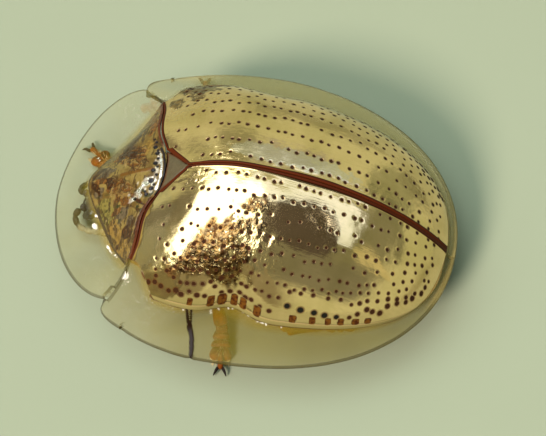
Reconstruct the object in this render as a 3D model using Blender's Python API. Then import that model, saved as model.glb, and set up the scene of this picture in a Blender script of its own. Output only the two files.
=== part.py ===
"""Golden tortoise beetle, life size: a still model of the whole insect, standing on six feet.

Metres, +Z up. The head points to -Y and the insect's left side is +X. A station is a distance behind the
front rim of the shield, and a level is a height above the rim of the shell; place() turns both into the
part's own frame, whose origin lies on the floor under the middle of the whole insect.
"""

import math

import bmesh
import bpy
import numpy as np

MM = 0.001

# Driving sizes
BODY_LENGTH = 6.4 * MM          # front rim of the shield to the tip of the shell
SHELL_HALF_WIDTH = 2.69 * MM    # at the rim, where the shell is widest
DOME_RISE = 1.62 * MM           # top of the dome above the rim
STANCE = 0.72 * MM              # rim of the shell above the floor
MIDDLE_SHIFT = 0.06 * MM        # the right middle foot reaches out furthest, so the body stands this far left
SEAM = 0.07 * MM                # thin cut between neighbours: the whole insect is only 6.4 mm long

# Shell: where the rim, the edge of the gold disc and the middle seam run
WIDEST_STATION = 3.0 * MM
DISC_HALF_WIDTH = 2.10 * MM
DISC_END = 6.26 * MM
DISC_FRONT_X = 1.50 * MM        # front outer corner of the disc, against the shield
WAIST_STATION = 3.10 * MM       # the disc is pinched behind the shoulder
WAIST_DEPTH = 0.20 * MM
WAIST_REACH = 0.38 * MM         # how far before and behind that station it fades out
WAIST_TOP = 0.8                 # share of the half width outside which the side is drawn in
SHOULDER_STATION = 2.6 * MM     # the disc is widest here
SHOULDER_REACH = 2.2 * MM       # from there to where its oval would close in front
RIM_REACH = 2.95 * MM           # from the widest station of the rim to where its oval would close in front
LEAST_WIDTH = 0.02 * MM         # keeps the shares finite at the tip
# Round lobe of the rim beside the shield's corner: start, bend and end
SHOULDER_LOBE = ((1.95 * MM, 1.16 * MM), (2.20 * MM, 0.92 * MM), (2.36 * MM, 1.42 * MM))
DISC_EDGE_RISE = 0.37 * MM      # edge of the disc above the rim, at the shoulder
RIM_SAG = 0.11 * MM             # the rim is lowest beside the shoulders
SHELL_WALL = 0.45 * MM
MARGIN_ROOT = 0.30 * MM
MARGIN_TIP = 0.20 * MM

# Shield over the head
SHIELD_HALF_WIDTH = 1.97 * MM
SHIELD_CORNER = 1.12 * MM       # station of its hind corners
SHIELD_DISC_FRONT = 0.455 * MM
SHIELD_DISC_SIDE = 1.40 * MM    # half width of its disc
SHIELD_NOSE = 0.20 * MM         # round front of the disc's wedge
SHIELD_WEDGE = 0.66             # slope of the wedge's sides, station by width
SHIELD_SIDE_TURN = 0.88         # outside this share of its turn the margin lies beside the disc's side
SHIELD_DROOP = 0.30 * MM        # its front rim lies this far under the rim of the shell
SHIELD_TOP = 0.92 * MM          # along its hind edge, with a low bump before the scutellum
SHIELD_WALL = 0.25 * MM
HIND_MARGIN = 1.42 * MM         # station of the shield's hind edge beside the middle lobe
HIND_LOBE = 0.24 * MM
SWEEP_START = 1.15 * MM         # outside this half width the hind edge sweeps forward
HIND_SWEEP = 0.33 * MM          # and ends this far ahead at the corner

# Scutellum, the small triangle where the seam begins
SCUTELLUM_HALF_WIDTH = 0.40 * MM
SCUTELLUM_TIP = 2.00 * MM

# Underside
BELLY = 0.05 * MM               # level of the flat breast, above the rim
WAIST_CUT = 3.55 * MM           # the abdomen begins here
BODY_END = 5.75 * MM
RING_COUNT = 5
RING_STEP = 0.05 * MM

# Head: it hangs from the breast, face forward and down, so its top slopes up to the rear
HEAD_CENTRE = (0.0, 0.75 * MM, -0.20 * MM)
HEAD_SIZE = (0.38 * MM, 0.31 * MM, 0.20 * MM)
HEAD_SLOPE = 0.6
LIP_CENTRE = (0.0, 0.49 * MM, -0.42 * MM)
LIP_SIZE = (0.15 * MM, 0.08 * MM, 0.08 * MM)
EYE_X = 0.27 * MM
EYE_STATION = 0.56 * MM
EYE_SIZE = (0.11 * MM, 0.12 * MM, 0.11 * MM)
EYE_GAP = 0.05 * MM
BREAST_FRONT = 1.12 * MM
BREAST_END = 1.74 * MM
BREAST_HALF_WIDTH = 0.70 * MM

# Legs: half thicknesses
FEMUR = 0.21 * MM
KNEE = 0.17 * MM
SHIN_END = 0.19 * MM
FOOT_HALF_WIDTH = 0.18 * MM
FOOT_HEIGHT = 0.26 * MM
COXA = 0.25 * MM

SHARP_ANGLE = math.radians(40)

# Each leg: coxa, knee, ankle and toe as (x, station, level) in mm, as the insect stands in the photo
LEGS = {
    "leg_front_left":
        ((0.34, 1.42, -0.42), (0.98, 1.62, -0.46), (0.74, 1.34, -0.52), (0.47, 1.02, -0.60)),
    "leg_front_right":
        ((-0.34, 1.42, -0.42), (-1.10, 1.30, -0.46), (-0.74, 0.80, -0.52), (-1.04, 0.44, -0.60)),
    "leg_middle_left":
        ((0.48, 2.34, -0.30), (1.25, 2.74, -0.24), (1.80, 3.00, -0.46), (2.36, 3.08, -0.60)),
    "leg_middle_right":
        ((-0.48, 2.34, -0.30), (-1.38, 2.40, -0.24), (-2.00, 2.12, -0.46), (-2.642, 1.96, -0.60)),
    "leg_hind_left":
        ((0.50, 3.20, -0.30), (1.78, 4.06, -0.26), (1.36, 4.60, -0.48), (1.12, 5.08, -0.60)),
    "leg_hind_right":
        ((-0.50, 3.20, -0.30), (-1.70, 4.10, -0.26), (-1.52, 4.68, -0.48), (-1.30, 5.16, -0.60)),
}
JAW_ROUTE = ((0.12, 0.62, -0.43), (0.12, 0.54, -0.51), (0.04, 0.49, -0.55))
JAW_RADII = (0.10, 0.08, 0.04)
FEELER_ROUTE = ((0.15, 0.38, -0.42), (0.25, 0.33, -0.49), (0.38, 0.39, -0.53), (0.475, 0.57, -0.50),
                (0.515, 0.76, -0.40), (0.54, 0.94, -0.29), (0.61, 1.10, -0.19), (0.70, 1.25, -0.09),
                (0.80, 1.38, -0.01), (0.86, 1.46, 0.03))
FEELER_RADII = (0.07, 0.08, 0.085, 0.09, 0.10, 0.10, 0.11, 0.11, 0.10, 0.06)



def place(x, station, level):
    """A point of the insect in the part's own frame."""
    return x + MIDDLE_SHIFT, station - BODY_LENGTH / 2, level + STANCE


def smooth(t):
    t = np.clip(t, 0, 1)
    return t * t * (3 - 2 * t)


# Outlines, seen from above

def rim_half_width(station):
    ahead = station < WIDEST_STATION
    share = np.abs(station - WIDEST_STATION) / np.where(ahead, RIM_REACH, BODY_LENGTH - WIDEST_STATION)
    power = np.where(ahead, 2.2, 2.12)
    return SHELL_HALF_WIDTH * np.maximum(1 - np.minimum(share, 1) ** power, 0) ** (1 / power)


def disc_oval(station):
    """Half width of the gold disc's plain oval."""
    ahead = station < SHOULDER_STATION
    share = np.abs(station - SHOULDER_STATION) / np.where(ahead, SHOULDER_REACH, DISC_END - SHOULDER_STATION)
    power = np.where(ahead, 2.2, 2.6)
    return DISC_HALF_WIDTH * np.maximum(1 - np.minimum(share, 1) ** power, 0) ** (1 / power)


def waist(station):
    """How far the disc's edge is drawn in behind the shoulder."""
    return WAIST_DEPTH * np.exp(-(((station - WAIST_STATION) / WAIST_REACH) ** 2))


def disc_half_width(station):
    """The edge of the gold disc, with its waist."""
    return disc_oval(station) - waist(station)


def hind_margin(x):
    """Station of the line where the shield ends and the wing cases begin."""
    x = np.abs(x)
    lobe = HIND_LOBE * np.exp(-((x / (0.6 * MM)) ** 3))
    bend = HIND_SWEEP * (np.maximum(x - SWEEP_START, 0) / (SHIELD_HALF_WIDTH - SWEEP_START)) ** 2
    return HIND_MARGIN + lobe - bend


def shield_disc_front(x):
    """Station of the front edge of the shield's disc, a rounded wedge."""
    return SHIELD_DISC_FRONT + SHIELD_WEDGE * (np.sqrt(x * x + SHIELD_NOSE ** 2) - SHIELD_NOSE)


def shield_rim(turn):
    """Plan of the shield's rim. turn runs from -1 at the right hind corner to 1 at the left one."""
    angle = turn * math.radians(98)
    x = SHIELD_HALF_WIDTH * np.sign(np.sin(angle)) * np.abs(np.sin(angle)) ** (2 / 1.8)
    share = np.sign(np.cos(angle)) * np.abs(np.cos(angle)) ** (2 / 1.8)
    return x, SHIELD_CORNER - 0.05 * MM - (SHIELD_CORNER - 0.05 * MM) * share


# Levels, above the rim of the shell

def rim_level(station):
    return -RIM_SAG * np.exp(-(((station - 1.9 * MM) / (1.1 * MM)) ** 2))


def disc_edge_level(station):
    share = np.clip((station - 1.2 * MM) / (DISC_END - 1.2 * MM), 0, 1)
    return DISC_EDGE_RISE - (DISC_EDGE_RISE - 0.03 * MM) * share ** 3


def seam_level(station):
    """Profile of the dome along its middle."""
    peak = 3.0 * MM
    front = DOME_RISE * (1 - 0.204 * (np.maximum(peak - station, 0) / MM) ** 1.98)
    share = np.clip((station - peak) / (BODY_LENGTH - peak), 0, 1)
    rear = DOME_RISE * (1 - share ** 2.3) ** 0.82
    return np.where(station < peak, front, rear)


def hind_level(x):
    """Level along the shield's hind margin, where the wing cases start too."""
    share = np.minimum(np.abs(x) / (2.05 * MM), 1)
    bump = 0.08 * MM * np.exp(-((x / (0.45 * MM)) ** 2))
    return 0.12 * MM + (SHIELD_TOP - 0.12 * MM) * (1 - share ** 3.2) ** 1.3 + bump


def dome_share(x, station):
    """0 on the middle seam and 1 at the foot of the dome. The waist draws in only the foot of its side."""
    width = np.maximum(disc_half_width(station), LEAST_WIDTH)
    draw = waist(station) * smooth((np.abs(x) / width - WAIST_TOP) / (1 - WAIST_TOP))
    return np.minimum((np.abs(x) + draw) / np.maximum(disc_oval(station), LEAST_WIDTH), 1)


def dome_level(x, station):
    """The plain dome inside the edge of the gold disc."""
    share = dome_share(x, station)
    edge = np.minimum(disc_edge_level(station), seam_level(station))
    return edge + (seam_level(station) - edge) * (1 - share ** 2.3) ** 0.6


def shell_level(x, station):
    """The dome, eased at its front so that it starts level with the shield's hind margin."""
    base = hind_margin(x)
    step = hind_level(x) - dome_level(x, base)
    return dome_level(x, station) + step * np.exp(-np.maximum(station - base, 0) / (0.30 * MM))


def shield_edge_level(x):
    """Level along the front edge of the shield's disc."""
    return 0.17 * MM - 0.09 * MM * smooth(np.abs(x) / MM) + 0.28 * MM * smooth((np.abs(x) - MM) / (0.6 * MM))


def shield_level(x, station):
    front, back = shield_disc_front(x), hind_margin(x)
    share = np.clip((station - front) / np.maximum(back - front, 0.01 * MM), 0, 1)
    edge = np.minimum(shield_edge_level(x), hind_level(x))
    return edge + (hind_level(x) - edge) * (1 - (1 - share) ** 1.5)


def shield_rim_level(station):
    share = np.clip(1 - station / (1.1 * MM), 0, 1)
    return 0.08 * MM - (SHIELD_DROOP + 0.08 * MM) * share ** 1.3


# Meshes

def material(name, colour, metallic, roughness, alpha=1.0):
    made = bpy.data.materials.new(name)
    made.use_nodes = True
    shader = made.node_tree.nodes["Principled BSDF"]
    shader.inputs["Base Color"].default_value = (*colour, 1.0)
    shader.inputs["Metallic"].default_value = metallic
    shader.inputs["Roughness"].default_value = roughness
    shader.inputs["Alpha"].default_value = alpha
    made.diffuse_color = (*colour, alpha)
    return made


def welded(points, triangles):
    """Points of one place made one, and the triangles that this leaves without area dropped."""
    keys = np.round(points / (1e-4 * MM)).astype(np.int64)
    _, first, index = np.unique(keys, axis=0, return_index=True, return_inverse=True)
    triangles = index.reshape(-1)[triangles]
    a, b, c = triangles.T
    return points[first], triangles[(a != b) & (b != c) & (a != c)]


def shade(mesh):
    """Smooth, with its edges kept sharp."""
    mesh.shade_smooth()
    mesh.set_sharp_from_angle(angle=SHARP_ANGLE)


def make_object(name, points, triangles, surface):
    points, triangles = welded(np.asarray(points, float), np.asarray(triangles, int))
    mesh = bpy.data.meshes.new(name)
    mesh.from_pydata(points.tolist(), [], triangles.tolist())
    mesh.materials.append(surface)
    mesh.validate()
    shade(mesh)
    made = bpy.data.objects.new(name, mesh)
    bpy.context.scene.collection.objects.link(made)
    return made


def grid_triangles(rows, columns, start, flip):
    made = []
    for i in range(rows - 1):
        for j in range(columns - 1):
            a = start + i * columns + j
            b, c, d = a + 1, a + columns, a + columns + 1
            for face in ((a, c, b), (b, c, d)):
                made.append(face[::-1] if flip else face)
    return made


def slab(name, x, station, top, bottom, surface, mirror=False):
    """A closed plate over a grid of plan points, between two levels, in triangles alike on both faces.

    Rows run to the insect's left and columns to its rear, as seen from above."""
    x, station, top, bottom = np.broadcast_arrays(x, station, top, bottom)
    rows, columns = x.shape
    side = -1 if mirror else 1
    upper = np.stack(place(side * x, station, top), -1).reshape(-1, 3)
    lower = np.stack(place(side * x, station, bottom), -1).reshape(-1, 3)
    count = rows * columns
    faces = grid_triangles(rows, columns, 0, mirror) + grid_triangles(rows, columns, count, not mirror)
    border = (
        [j for j in range(columns)]
        + [i * columns + columns - 1 for i in range(1, rows)]
        + [(rows - 1) * columns + j for j in range(columns - 2, -1, -1)]
        + [i * columns for i in range(rows - 2, 0, -1)]
    )
    for k, a in enumerate(border):
        b = border[(k + 1) % len(border)]
        for face in ((a, b, b + count), (a, b + count, a + count)):
            faces.append(face[::-1] if mirror else face)
    return make_object(name, np.concatenate([upper, lower]), faces, surface)


def wall_under(level, wall, x, station, surface_level):
    """A level under a dome, deeper where the dome is steep, so that its wall keeps its thickness."""
    step = 0.02 * MM
    slope_x = (surface_level(x + step, station) - surface_level(x - step, station)) / (2 * step)
    slope_y = (surface_level(x, station + step) - surface_level(x, station - step)) / (2 * step)
    slope = np.minimum(np.hypot(slope_x, slope_y), 1.0)
    return level - wall * np.sqrt(1 + slope ** 2)


# Wing cases

def wing_base(share):
    """Plan of a wing case's front edge, from the tip of the scutellum to the edge of the disc."""
    corner = 0.30
    along = np.clip(share / corner, 0, 1)
    out = np.clip((share - corner) / (1 - corner), 0, 1)
    corner_x = SCUTELLUM_HALF_WIDTH + SEAM
    x = SEAM / 2 + (corner_x - SEAM / 2) * along + (DISC_FRONT_X - corner_x) * out
    down_side = SCUTELLUM_TIP + SEAM / 2 + (hind_margin(corner_x) - SCUTELLUM_TIP) * along
    return x, np.where(share < corner, down_side, hind_margin(x) + SEAM / 2)


def disc_edge_plan(along, outwards=0.0):
    """Plan of the disc's edge. along runs from 0 at the shoulder to 1 at the rear tip."""
    def edge(a):
        first = hind_margin(DISC_FRONT_X) + SEAM / 2
        station = first + (DISC_END - first) * np.sin(np.clip(a, 0, 1) ** 1.15 * math.pi / 2)
        entry = smooth((station - first) / (0.5 * MM))
        x = DISC_FRONT_X * (1 - entry) + disc_half_width(station) * entry
        return np.maximum(x, SEAM / 2), station
    x, station = edge(along)
    ahead, behind = edge(np.asarray(along) + 0.004), edge(np.asarray(along) - 0.004)
    run_x, run_y = ahead[0] - behind[0], ahead[1] - behind[1]
    run = np.maximum(np.hypot(run_x, run_y), 1e-9)
    return np.maximum(x + outwards * run_y / run, SEAM / 2), station - outwards * run_x / run


def wing_disc(name, surface, mirror):
    rows, columns = 14, 27
    across = 1 - (1 - np.linspace(0, 1, rows)[:, None]) ** 1.5
    along = np.linspace(0, 1, columns)[None, :]
    seam_station = SCUTELLUM_TIP + SEAM / 2 + (DISC_END - SCUTELLUM_TIP - SEAM / 2) * along
    edge_x, edge_station = disc_edge_plan(along)
    x = SEAM / 2 + across * (edge_x - SEAM / 2)
    station = seam_station + across * (edge_station - seam_station)
    base_x, base_station = wing_base(across)
    x = x + (base_x - x[:, :1]) * (1 - along) ** 3
    station = station + (base_station - station[:, :1]) * (1 - along) ** 3
    top = shell_level(x, station)
    bottom = np.maximum(wall_under(top, SHELL_WALL, x, station, shell_level),
                        disc_edge_level(station) - MARGIN_ROOT)
    return slab(name, x, station, top, bottom, surface, mirror)


def rim_plan(along):
    """Plan of a wing case's rim, round the shoulder lobe and on to the rear tip."""
    lobe_share = 0.10
    t = np.clip(along / lobe_share, 0, 1)
    turn = np.clip((along - lobe_share) / (1 - lobe_share), 0, 1)
    (start_x, start_y), (mid_x, mid_y), (end_x, end_y) = SHOULDER_LOBE
    lobe_x = (1 - t) ** 2 * start_x + 2 * t * (1 - t) * mid_x + t * t * end_x
    lobe_y = (1 - t) ** 2 * start_y + 2 * t * (1 - t) * mid_y + t * t * end_y
    station = end_y + (BODY_LENGTH - end_y) * (1 - np.cos(turn ** 0.9 * math.pi)) / 2
    x = np.where(along < lobe_share, lobe_x, rim_half_width(station))
    return np.maximum(x, SEAM / 2), np.where(along < lobe_share, lobe_y, station)


def wing_margin(name, surface, mirror):
    """The clear border of a wing case, from the edge of the gold disc down to the rim."""
    rows, columns = 5, 44
    across = np.linspace(0, 1, rows)[:, None]
    along = np.linspace(0, 1, columns)[None, :]
    inner_x, inner_station = disc_edge_plan(along, SEAM)
    outer_x, outer_station = rim_plan(along)
    x = inner_x + across * (outer_x - inner_x)
    station = inner_station + across * (outer_station - inner_station)
    bow = hind_margin(x[:, :1]) + SEAM / 2 - station[:, :1]
    station = station + bow * np.maximum(1 - along * 12, 0)
    inner_level = shell_level(*disc_edge_plan(along))
    outer_level = rim_level(outer_station)
    hollow = 0.05 * MM * 4 * across * (1 - across)
    top = inner_level + (outer_level - inner_level) * across - hollow
    wall = MARGIN_ROOT + (MARGIN_TIP - MARGIN_ROOT) * across
    return slab(name, x, station, top, top - wall, surface, mirror)


# Shield

def shield_disc(surface):
    rows, columns = 25, 9
    x = np.linspace(-SHIELD_DISC_SIDE, SHIELD_DISC_SIDE, rows)[:, None] * np.ones((1, columns))
    share = np.linspace(0, 1, columns)[None, :]
    front, back = shield_disc_front(x), hind_margin(x) - SEAM / 2
    station = front + (back - front) * share
    top = shield_level(x, station)
    wall = SHIELD_WALL * (1 + 0.4 * smooth(share / 0.35))
    return slab("pronotum", x, station, top, top - wall, surface)


def shield_margin(surface):
    """The clear front of the shield, a horseshoe round its disc."""
    rows, columns = 45, 5
    turn = np.linspace(-1, 1, rows)[:, None]
    across = np.linspace(1, 0, columns)[None, :]
    outer_x, outer_station = shield_rim(turn)
    turned = np.clip(np.abs(turn) / SHIELD_SIDE_TURN, 0, 1)
    inner_x = (SHIELD_DISC_SIDE + SEAM) * np.sin(turned * math.pi / 2) * np.sign(turn)
    last = hind_margin(inner_x) - SEAM / 2
    inner_station = np.minimum(shield_disc_front(inner_x) - SEAM * 0.9, last)
    beside = np.clip((np.abs(turn) - SHIELD_SIDE_TURN) / (1 - SHIELD_SIDE_TURN), 0, 1)
    inner_station = inner_station + (last - inner_station) * beside
    x = inner_x + (outer_x - inner_x) * across
    station = inner_station + (outer_station - inner_station) * across
    station = np.minimum(station, hind_margin(x) - SEAM / 2)
    inner_level = shield_edge_level(inner_x) - 0.02 * MM
    outer_level = shield_rim_level(outer_station)
    hollow = 0.04 * MM * 4 * across * (1 - across)
    top = inner_level + (outer_level - inner_level) * across - hollow
    wall = SHIELD_WALL + (MARGIN_TIP - SHIELD_WALL) * across
    return slab("pronotum_margin", x, station, top, top - wall, surface)


def scutellum(surface):
    rows, columns = 7, 5
    share = np.linspace(0, 1, columns)[None, :]
    base = hind_margin(np.array(0.0)) + SEAM / 2
    half = SCUTELLUM_HALF_WIDTH - SEAM / 2
    station = base + (SCUTELLUM_TIP - SEAM - base) * share * np.ones((rows, 1))
    x = np.linspace(-half, half, rows)[:, None] * (1 - share ** 1.2 * 0.97)
    front = hind_margin(x) + SEAM / 2
    station = station + (front - base) * (1 - share)
    crown = 0.03 * MM * (1 - (2 * np.abs(np.linspace(0, 1, rows)[:, None] - 0.5)) ** 2)
    top = 0.97 * MM + 0.28 * MM * (station - base) / (SCUTELLUM_TIP - base) + crown
    return slab("scutellum", x, station, top, top - 0.35 * MM, surface)


# Underside

def body_part(name, surface, first, last, ring_count):
    """A length of the trunk under the wing cases: flat below, domed above, narrower to the rear."""
    rows, columns = 15, 9 + 3 * ring_count
    share = np.linspace(0, 1, columns)[None, :]
    station = first + (last - first) * share * np.ones((rows, 1))
    half = np.minimum(disc_half_width(station) - 0.30 * MM, 1.75 * MM)
    end = np.clip((BODY_END - station) / (BODY_END - WAIST_CUT), 0, 1)
    half = half * np.where(station > WAIST_CUT, 0.45 + 0.55 * np.sqrt(1 - (1 - end) ** 2), 1.0)
    across = np.sin(np.linspace(-1, 1, rows) * math.pi / 2)[:, None]
    x = across * half
    roof = shell_level(x, station)
    roof = wall_under(roof, SHELL_WALL, x, station, shell_level) - SEAM
    ring = (share * ring_count) % 1 if ring_count else 0
    rise = 0.12 * MM * smooth((np.abs(across) - 0.5) / 0.5)
    rise = rise + 0.10 * MM * smooth(1 - end) * (station > WAIST_CUT)
    belly = np.minimum(BELLY + rise + RING_STEP * ring * (ring_count > 0), roof - 0.12 * MM)
    return slab(name, x, station, roof, belly, surface)


def prothorax(surface):
    """The front of the breast, under the shield, behind the head."""
    rows, columns = 13, 7
    share = np.linspace(0, 1, columns)[None, :]
    station = BREAST_FRONT + (BREAST_END - BREAST_FRONT) * share * np.ones((rows, 1))
    across = np.sin(np.linspace(-1, 1, rows) * math.pi / 2)[:, None]
    x = across * BREAST_HALF_WIDTH * (0.8 + 0.2 * smooth(share * 2))
    shield = wall_under(shield_level(x, station), SHIELD_WALL, x, station, shield_level)
    behind = np.maximum(station, hind_margin(x))
    shell = wall_under(shell_level(x, behind), SHELL_WALL, x, behind, shell_level)
    roof = np.minimum(shield, shell) - SEAM
    belly = BELLY - 0.06 * MM + 0.12 * MM * smooth((np.abs(across) - 0.6) / 0.4)
    return slab("prothorax", x, station, roof, np.minimum(belly, roof - 0.12 * MM), surface)


# Round pieces

def ellipsoid(name, centre, size, surface, segments=16, rings=10):
    mesh = bpy.data.meshes.new(name)
    work = bmesh.new()
    bmesh.ops.create_uvsphere(work, u_segments=segments, v_segments=rings, radius=1.0)
    for vertex in work.verts:
        x, y, z = (vertex.co[k] * size[k] + centre[k] for k in range(3))
        vertex.co = place(x, y, z)
    bmesh.ops.triangulate(work, faces=work.faces)
    bmesh.ops.recalc_face_normals(work, faces=work.faces)
    work.to_mesh(mesh)
    work.free()
    shade(mesh)
    mesh.materials.append(surface)
    made = bpy.data.objects.new(name, mesh)
    bpy.context.scene.collection.objects.link(made)
    return made


def tube(name, path, radii, surface, sides=10, flat=None):
    """A round tube through points, with rounded ends. flat is (lowest, highest) level of a flattened foot."""
    points = np.array([place(*p) for p in path])
    radii = np.asarray(radii, float)
    runs = np.gradient(points, axis=0)
    runs /= np.linalg.norm(runs, axis=1)[:, None]
    first, last = points[0] - runs[0] * radii[0] * 0.6, points[-1] + runs[-1] * radii[-1] * 0.6
    rings, up = [], np.array([0.0, 0.0, 1.0])
    for point, run, radius in zip(points, runs, radii):
        side = np.cross(run, up)
        side /= np.linalg.norm(side)
        lift = np.cross(side, run)
        angles = np.arange(sides) * 2 * math.pi / sides
        rings.append(point + radius * (np.cos(angles)[:, None] * side + np.sin(angles)[:, None] * lift))
    work = bmesh.new()
    rows = [[work.verts.new(p) for p in ring] for ring in rings]
    for one, two in zip(rows, rows[1:]):
        for k in range(sides):
            work.faces.new((one[k], one[(k + 1) % sides], two[(k + 1) % sides], two[k]))
    for row, tip in ((rows[0], first), (rows[-1], last)):
        pole = work.verts.new(tip)
        for k in range(sides):
            work.faces.new((row[k], row[(k + 1) % sides], pole))
    if flat:
        floor, roof = flat
        for vertex in work.verts:
            vertex.co.z = min(max(vertex.co.z, floor), roof)
    bmesh.ops.triangulate(work, faces=work.faces)
    bmesh.ops.recalc_face_normals(work, faces=work.faces)
    mesh = bpy.data.meshes.new(name)
    work.to_mesh(mesh)
    work.free()
    shade(mesh)
    mesh.materials.append(surface)
    made = bpy.data.objects.new(name, mesh)
    bpy.context.scene.collection.objects.link(made)
    return made


def joined(name, pieces, operation="UNION"):
    """Fuses closed pieces into the first one, or cuts them from it, and keeps its largest closed surface."""
    body, others = pieces[0], pieces[1:]
    group = bpy.data.collections.new(name + "_pieces")
    bpy.context.scene.collection.children.link(group)
    for piece in others:
        bpy.context.scene.collection.objects.unlink(piece)
        group.objects.link(piece)
    cut = body.modifiers.new("cut", "BOOLEAN")
    cut.operation = operation
    cut.operand_type = "COLLECTION"
    cut.collection = group
    cut.solver = "EXACT"
    graph = bpy.context.evaluated_depsgraph_get()
    mesh = bpy.data.meshes.new_from_object(body.evaluated_get(graph))
    body.modifiers.clear()
    body.data = mesh
    for piece in others:
        bpy.data.objects.remove(piece)
    bpy.data.collections.remove(group)
    keep_largest(body)
    body.name = name
    return body


def keep_largest(body):
    work = bmesh.new()
    work.from_mesh(body.data)
    bmesh.ops.remove_doubles(work, verts=work.verts, dist=1e-3 * MM)
    islands, left = [], set(work.faces)
    while left:
        stack, island = [left.pop()], []
        while stack:
            face = stack.pop()
            island.append(face)
            for edge in face.edges:
                for other in edge.link_faces:
                    if other in left:
                        left.remove(other)
                        stack.append(other)
        islands.append(island)
    islands.sort(key=len, reverse=True)
    for island in islands[1:]:
        bmesh.ops.delete(work, geom=island, context="FACES")
    bmesh.ops.triangulate(work, faces=work.faces)
    work.to_mesh(body.data)
    work.free()
    shade(body.data)


def claws(name, tip, heading, surface):
    """Two short hooks at the end of a foot."""
    made = []
    ahead = np.array([heading[0], heading[1], 0.0])
    side = np.array([-heading[1], heading[0], 0.0])
    for sign in (-1, 1):
        root = tip - 0.04 * MM * ahead + sign * 0.08 * MM * side
        root[2] = -STANCE + 0.15 * MM
        bend = root + 0.10 * MM * ahead + sign * 0.04 * MM * side
        end = bend + 0.06 * MM * ahead
        end[2] = -STANCE + 0.05 * MM
        made.append(tube(f"{name}_claw{sign}", [root, (root + bend) / 2, bend, end],
                         [0.060 * MM, 0.058 * MM, 0.045 * MM, 0.020 * MM], surface, sides=6))
    return made


def leg(name, coxa, knee, ankle, toe, surface):
    """One leg in one piece: coxa, femur, shin, flat foot and claws. Its points are in mm."""
    coxa, knee, ankle, toe = (np.array(p) * MM for p in (coxa, knee, ankle, toe))
    roof = BELLY - 0.06 * MM - SEAM
    high = np.array([coxa[0] + 1e-6, coxa[1] + 1e-6, roof])
    low = np.array([coxa[0], coxa[1], coxa[2] - 0.03 * MM])
    root = tube(name + "_coxa", [low, (low + high) / 2, high], [COXA * 0.85, COXA, COXA * 0.9], surface)
    for vertex in root.data.vertices:
        vertex.co.z = min(vertex.co.z, roof + STANCE)
    thigh = [coxa + (knee - coxa) * t for t in (0.0, 0.25, 0.55, 0.85, 1.0)]
    femur = tube(name + "_femur", thigh, [COXA * 0.8, FEMUR, FEMUR, KNEE * 1.05, KNEE], surface)
    shin = [knee + (ankle - knee) * t for t in (0.0, 0.3, 0.7, 1.0)]
    tibia = tube(name + "_shin", shin, [KNEE, KNEE * 0.95, SHIN_END, SHIN_END * 0.9], surface)
    foot_level = -STANCE + FOOT_HEIGHT / 2
    heel = np.array([ankle[0], ankle[1], foot_level])
    end = np.array([toe[0], toe[1], foot_level])
    steps = [heel + (end - heel) * t for t in (0.0, 0.3, 0.45, 0.75, 0.9, 1.0)]
    swell = (0.80, 0.95, 0.86, 1.1, 1.05, 0.7)
    foot = tube(name + "_foot", steps, [FOOT_HALF_WIDTH * s for s in swell], surface,
                flat=(0.0, FOOT_HEIGHT))
    run = (end - heel)[:2]
    return joined(name, [root, femur, tibia, foot, *claws(name, end, run / np.linalg.norm(run), surface)])


def antenna(name, side, surface):
    """A feeler laid back above the front leg, thickest in its last third."""
    path = [(side * x * MM, y * MM, z * MM) for x, y, z in FEELER_ROUTE]
    return tube(name, path, [r * MM for r in FEELER_RADII], surface, sides=8)


def head_slope(piece):
    """Tilts a piece of the head, so that it is lower at the face."""
    for vertex in piece.data.vertices:
        vertex.co.z += HEAD_SLOPE * (vertex.co.y - (HEAD_CENTRE[1] - BODY_LENGTH / 2))
    return piece


def head(surface):
    skull = head_slope(ellipsoid("head", HEAD_CENTRE, HEAD_SIZE, surface))
    pieces = [ellipsoid("lip", LIP_CENTRE, LIP_SIZE, surface, 12, 8)]
    for side in (-1, 1):
        jaw = [(side * x * MM, y * MM, z * MM) for x, y, z in JAW_ROUTE]
        pieces.append(tube(f"jaw{side}", jaw, [r * MM for r in JAW_RADII], surface, sides=8))
    whole = joined("head", [skull, *pieces])
    sockets = [eye(f"socket{side}", side, surface, EYE_GAP) for side in (-1, 1)]
    return joined("head", [whole, *sockets], "DIFFERENCE")


def eye(name, side, surface, room=0.0):
    """A swelling of the head's side. With room it is the socket cut for it."""
    level = HEAD_CENTRE[2] - 0.02 * MM
    size = [s + room for s in EYE_SIZE]
    return head_slope(ellipsoid(name, (side * EYE_X, EYE_STATION, level), size, surface, 14, 10))


def main():
    for old in list(bpy.data.objects):
        bpy.data.objects.remove(old)
    gold = material("gold_cuticle", (0.62, 0.50, 0.20), 0.9, 0.22)
    clear = material("clear_cuticle", (0.74, 0.74, 0.52), 0.0, 0.12, 0.45)
    amber = material("amber_cuticle", (0.55, 0.38, 0.14), 0.3, 0.30)
    leg_brown = material("leg_cuticle", (0.58, 0.33, 0.10), 0.0, 0.40)
    dark = material("dark_cuticle", (0.10, 0.06, 0.03), 0.0, 0.35)
    black = material("eye_black", (0.015, 0.012, 0.012), 0.0, 0.15)

    for side, mirror in (("left", False), ("right", True)):
        wing_disc("elytron_" + side, gold, mirror)
        wing_margin("elytron_margin_" + side, clear, mirror)
    shield_disc(amber)
    shield_margin(clear)
    scutellum(amber)
    prothorax(dark)
    body_part("thorax", dark, BREAST_END + SEAM, WAIST_CUT - SEAM / 2, 0)
    body_part("abdomen", dark, WAIST_CUT + SEAM / 2, BODY_END, RING_COUNT)
    head(amber)
    for name, side in (("left", 1), ("right", -1)):
        eye("eye_" + name, side, black)
        antenna("antenna_" + name, side, leg_brown)
    for name, points in LEGS.items():
        leg(name, *points, leg_brown)


main()
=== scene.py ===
import math
from functools import partial

import bpy
import numpy as np
from mathutils import Matrix, Vector, kdtree


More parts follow.
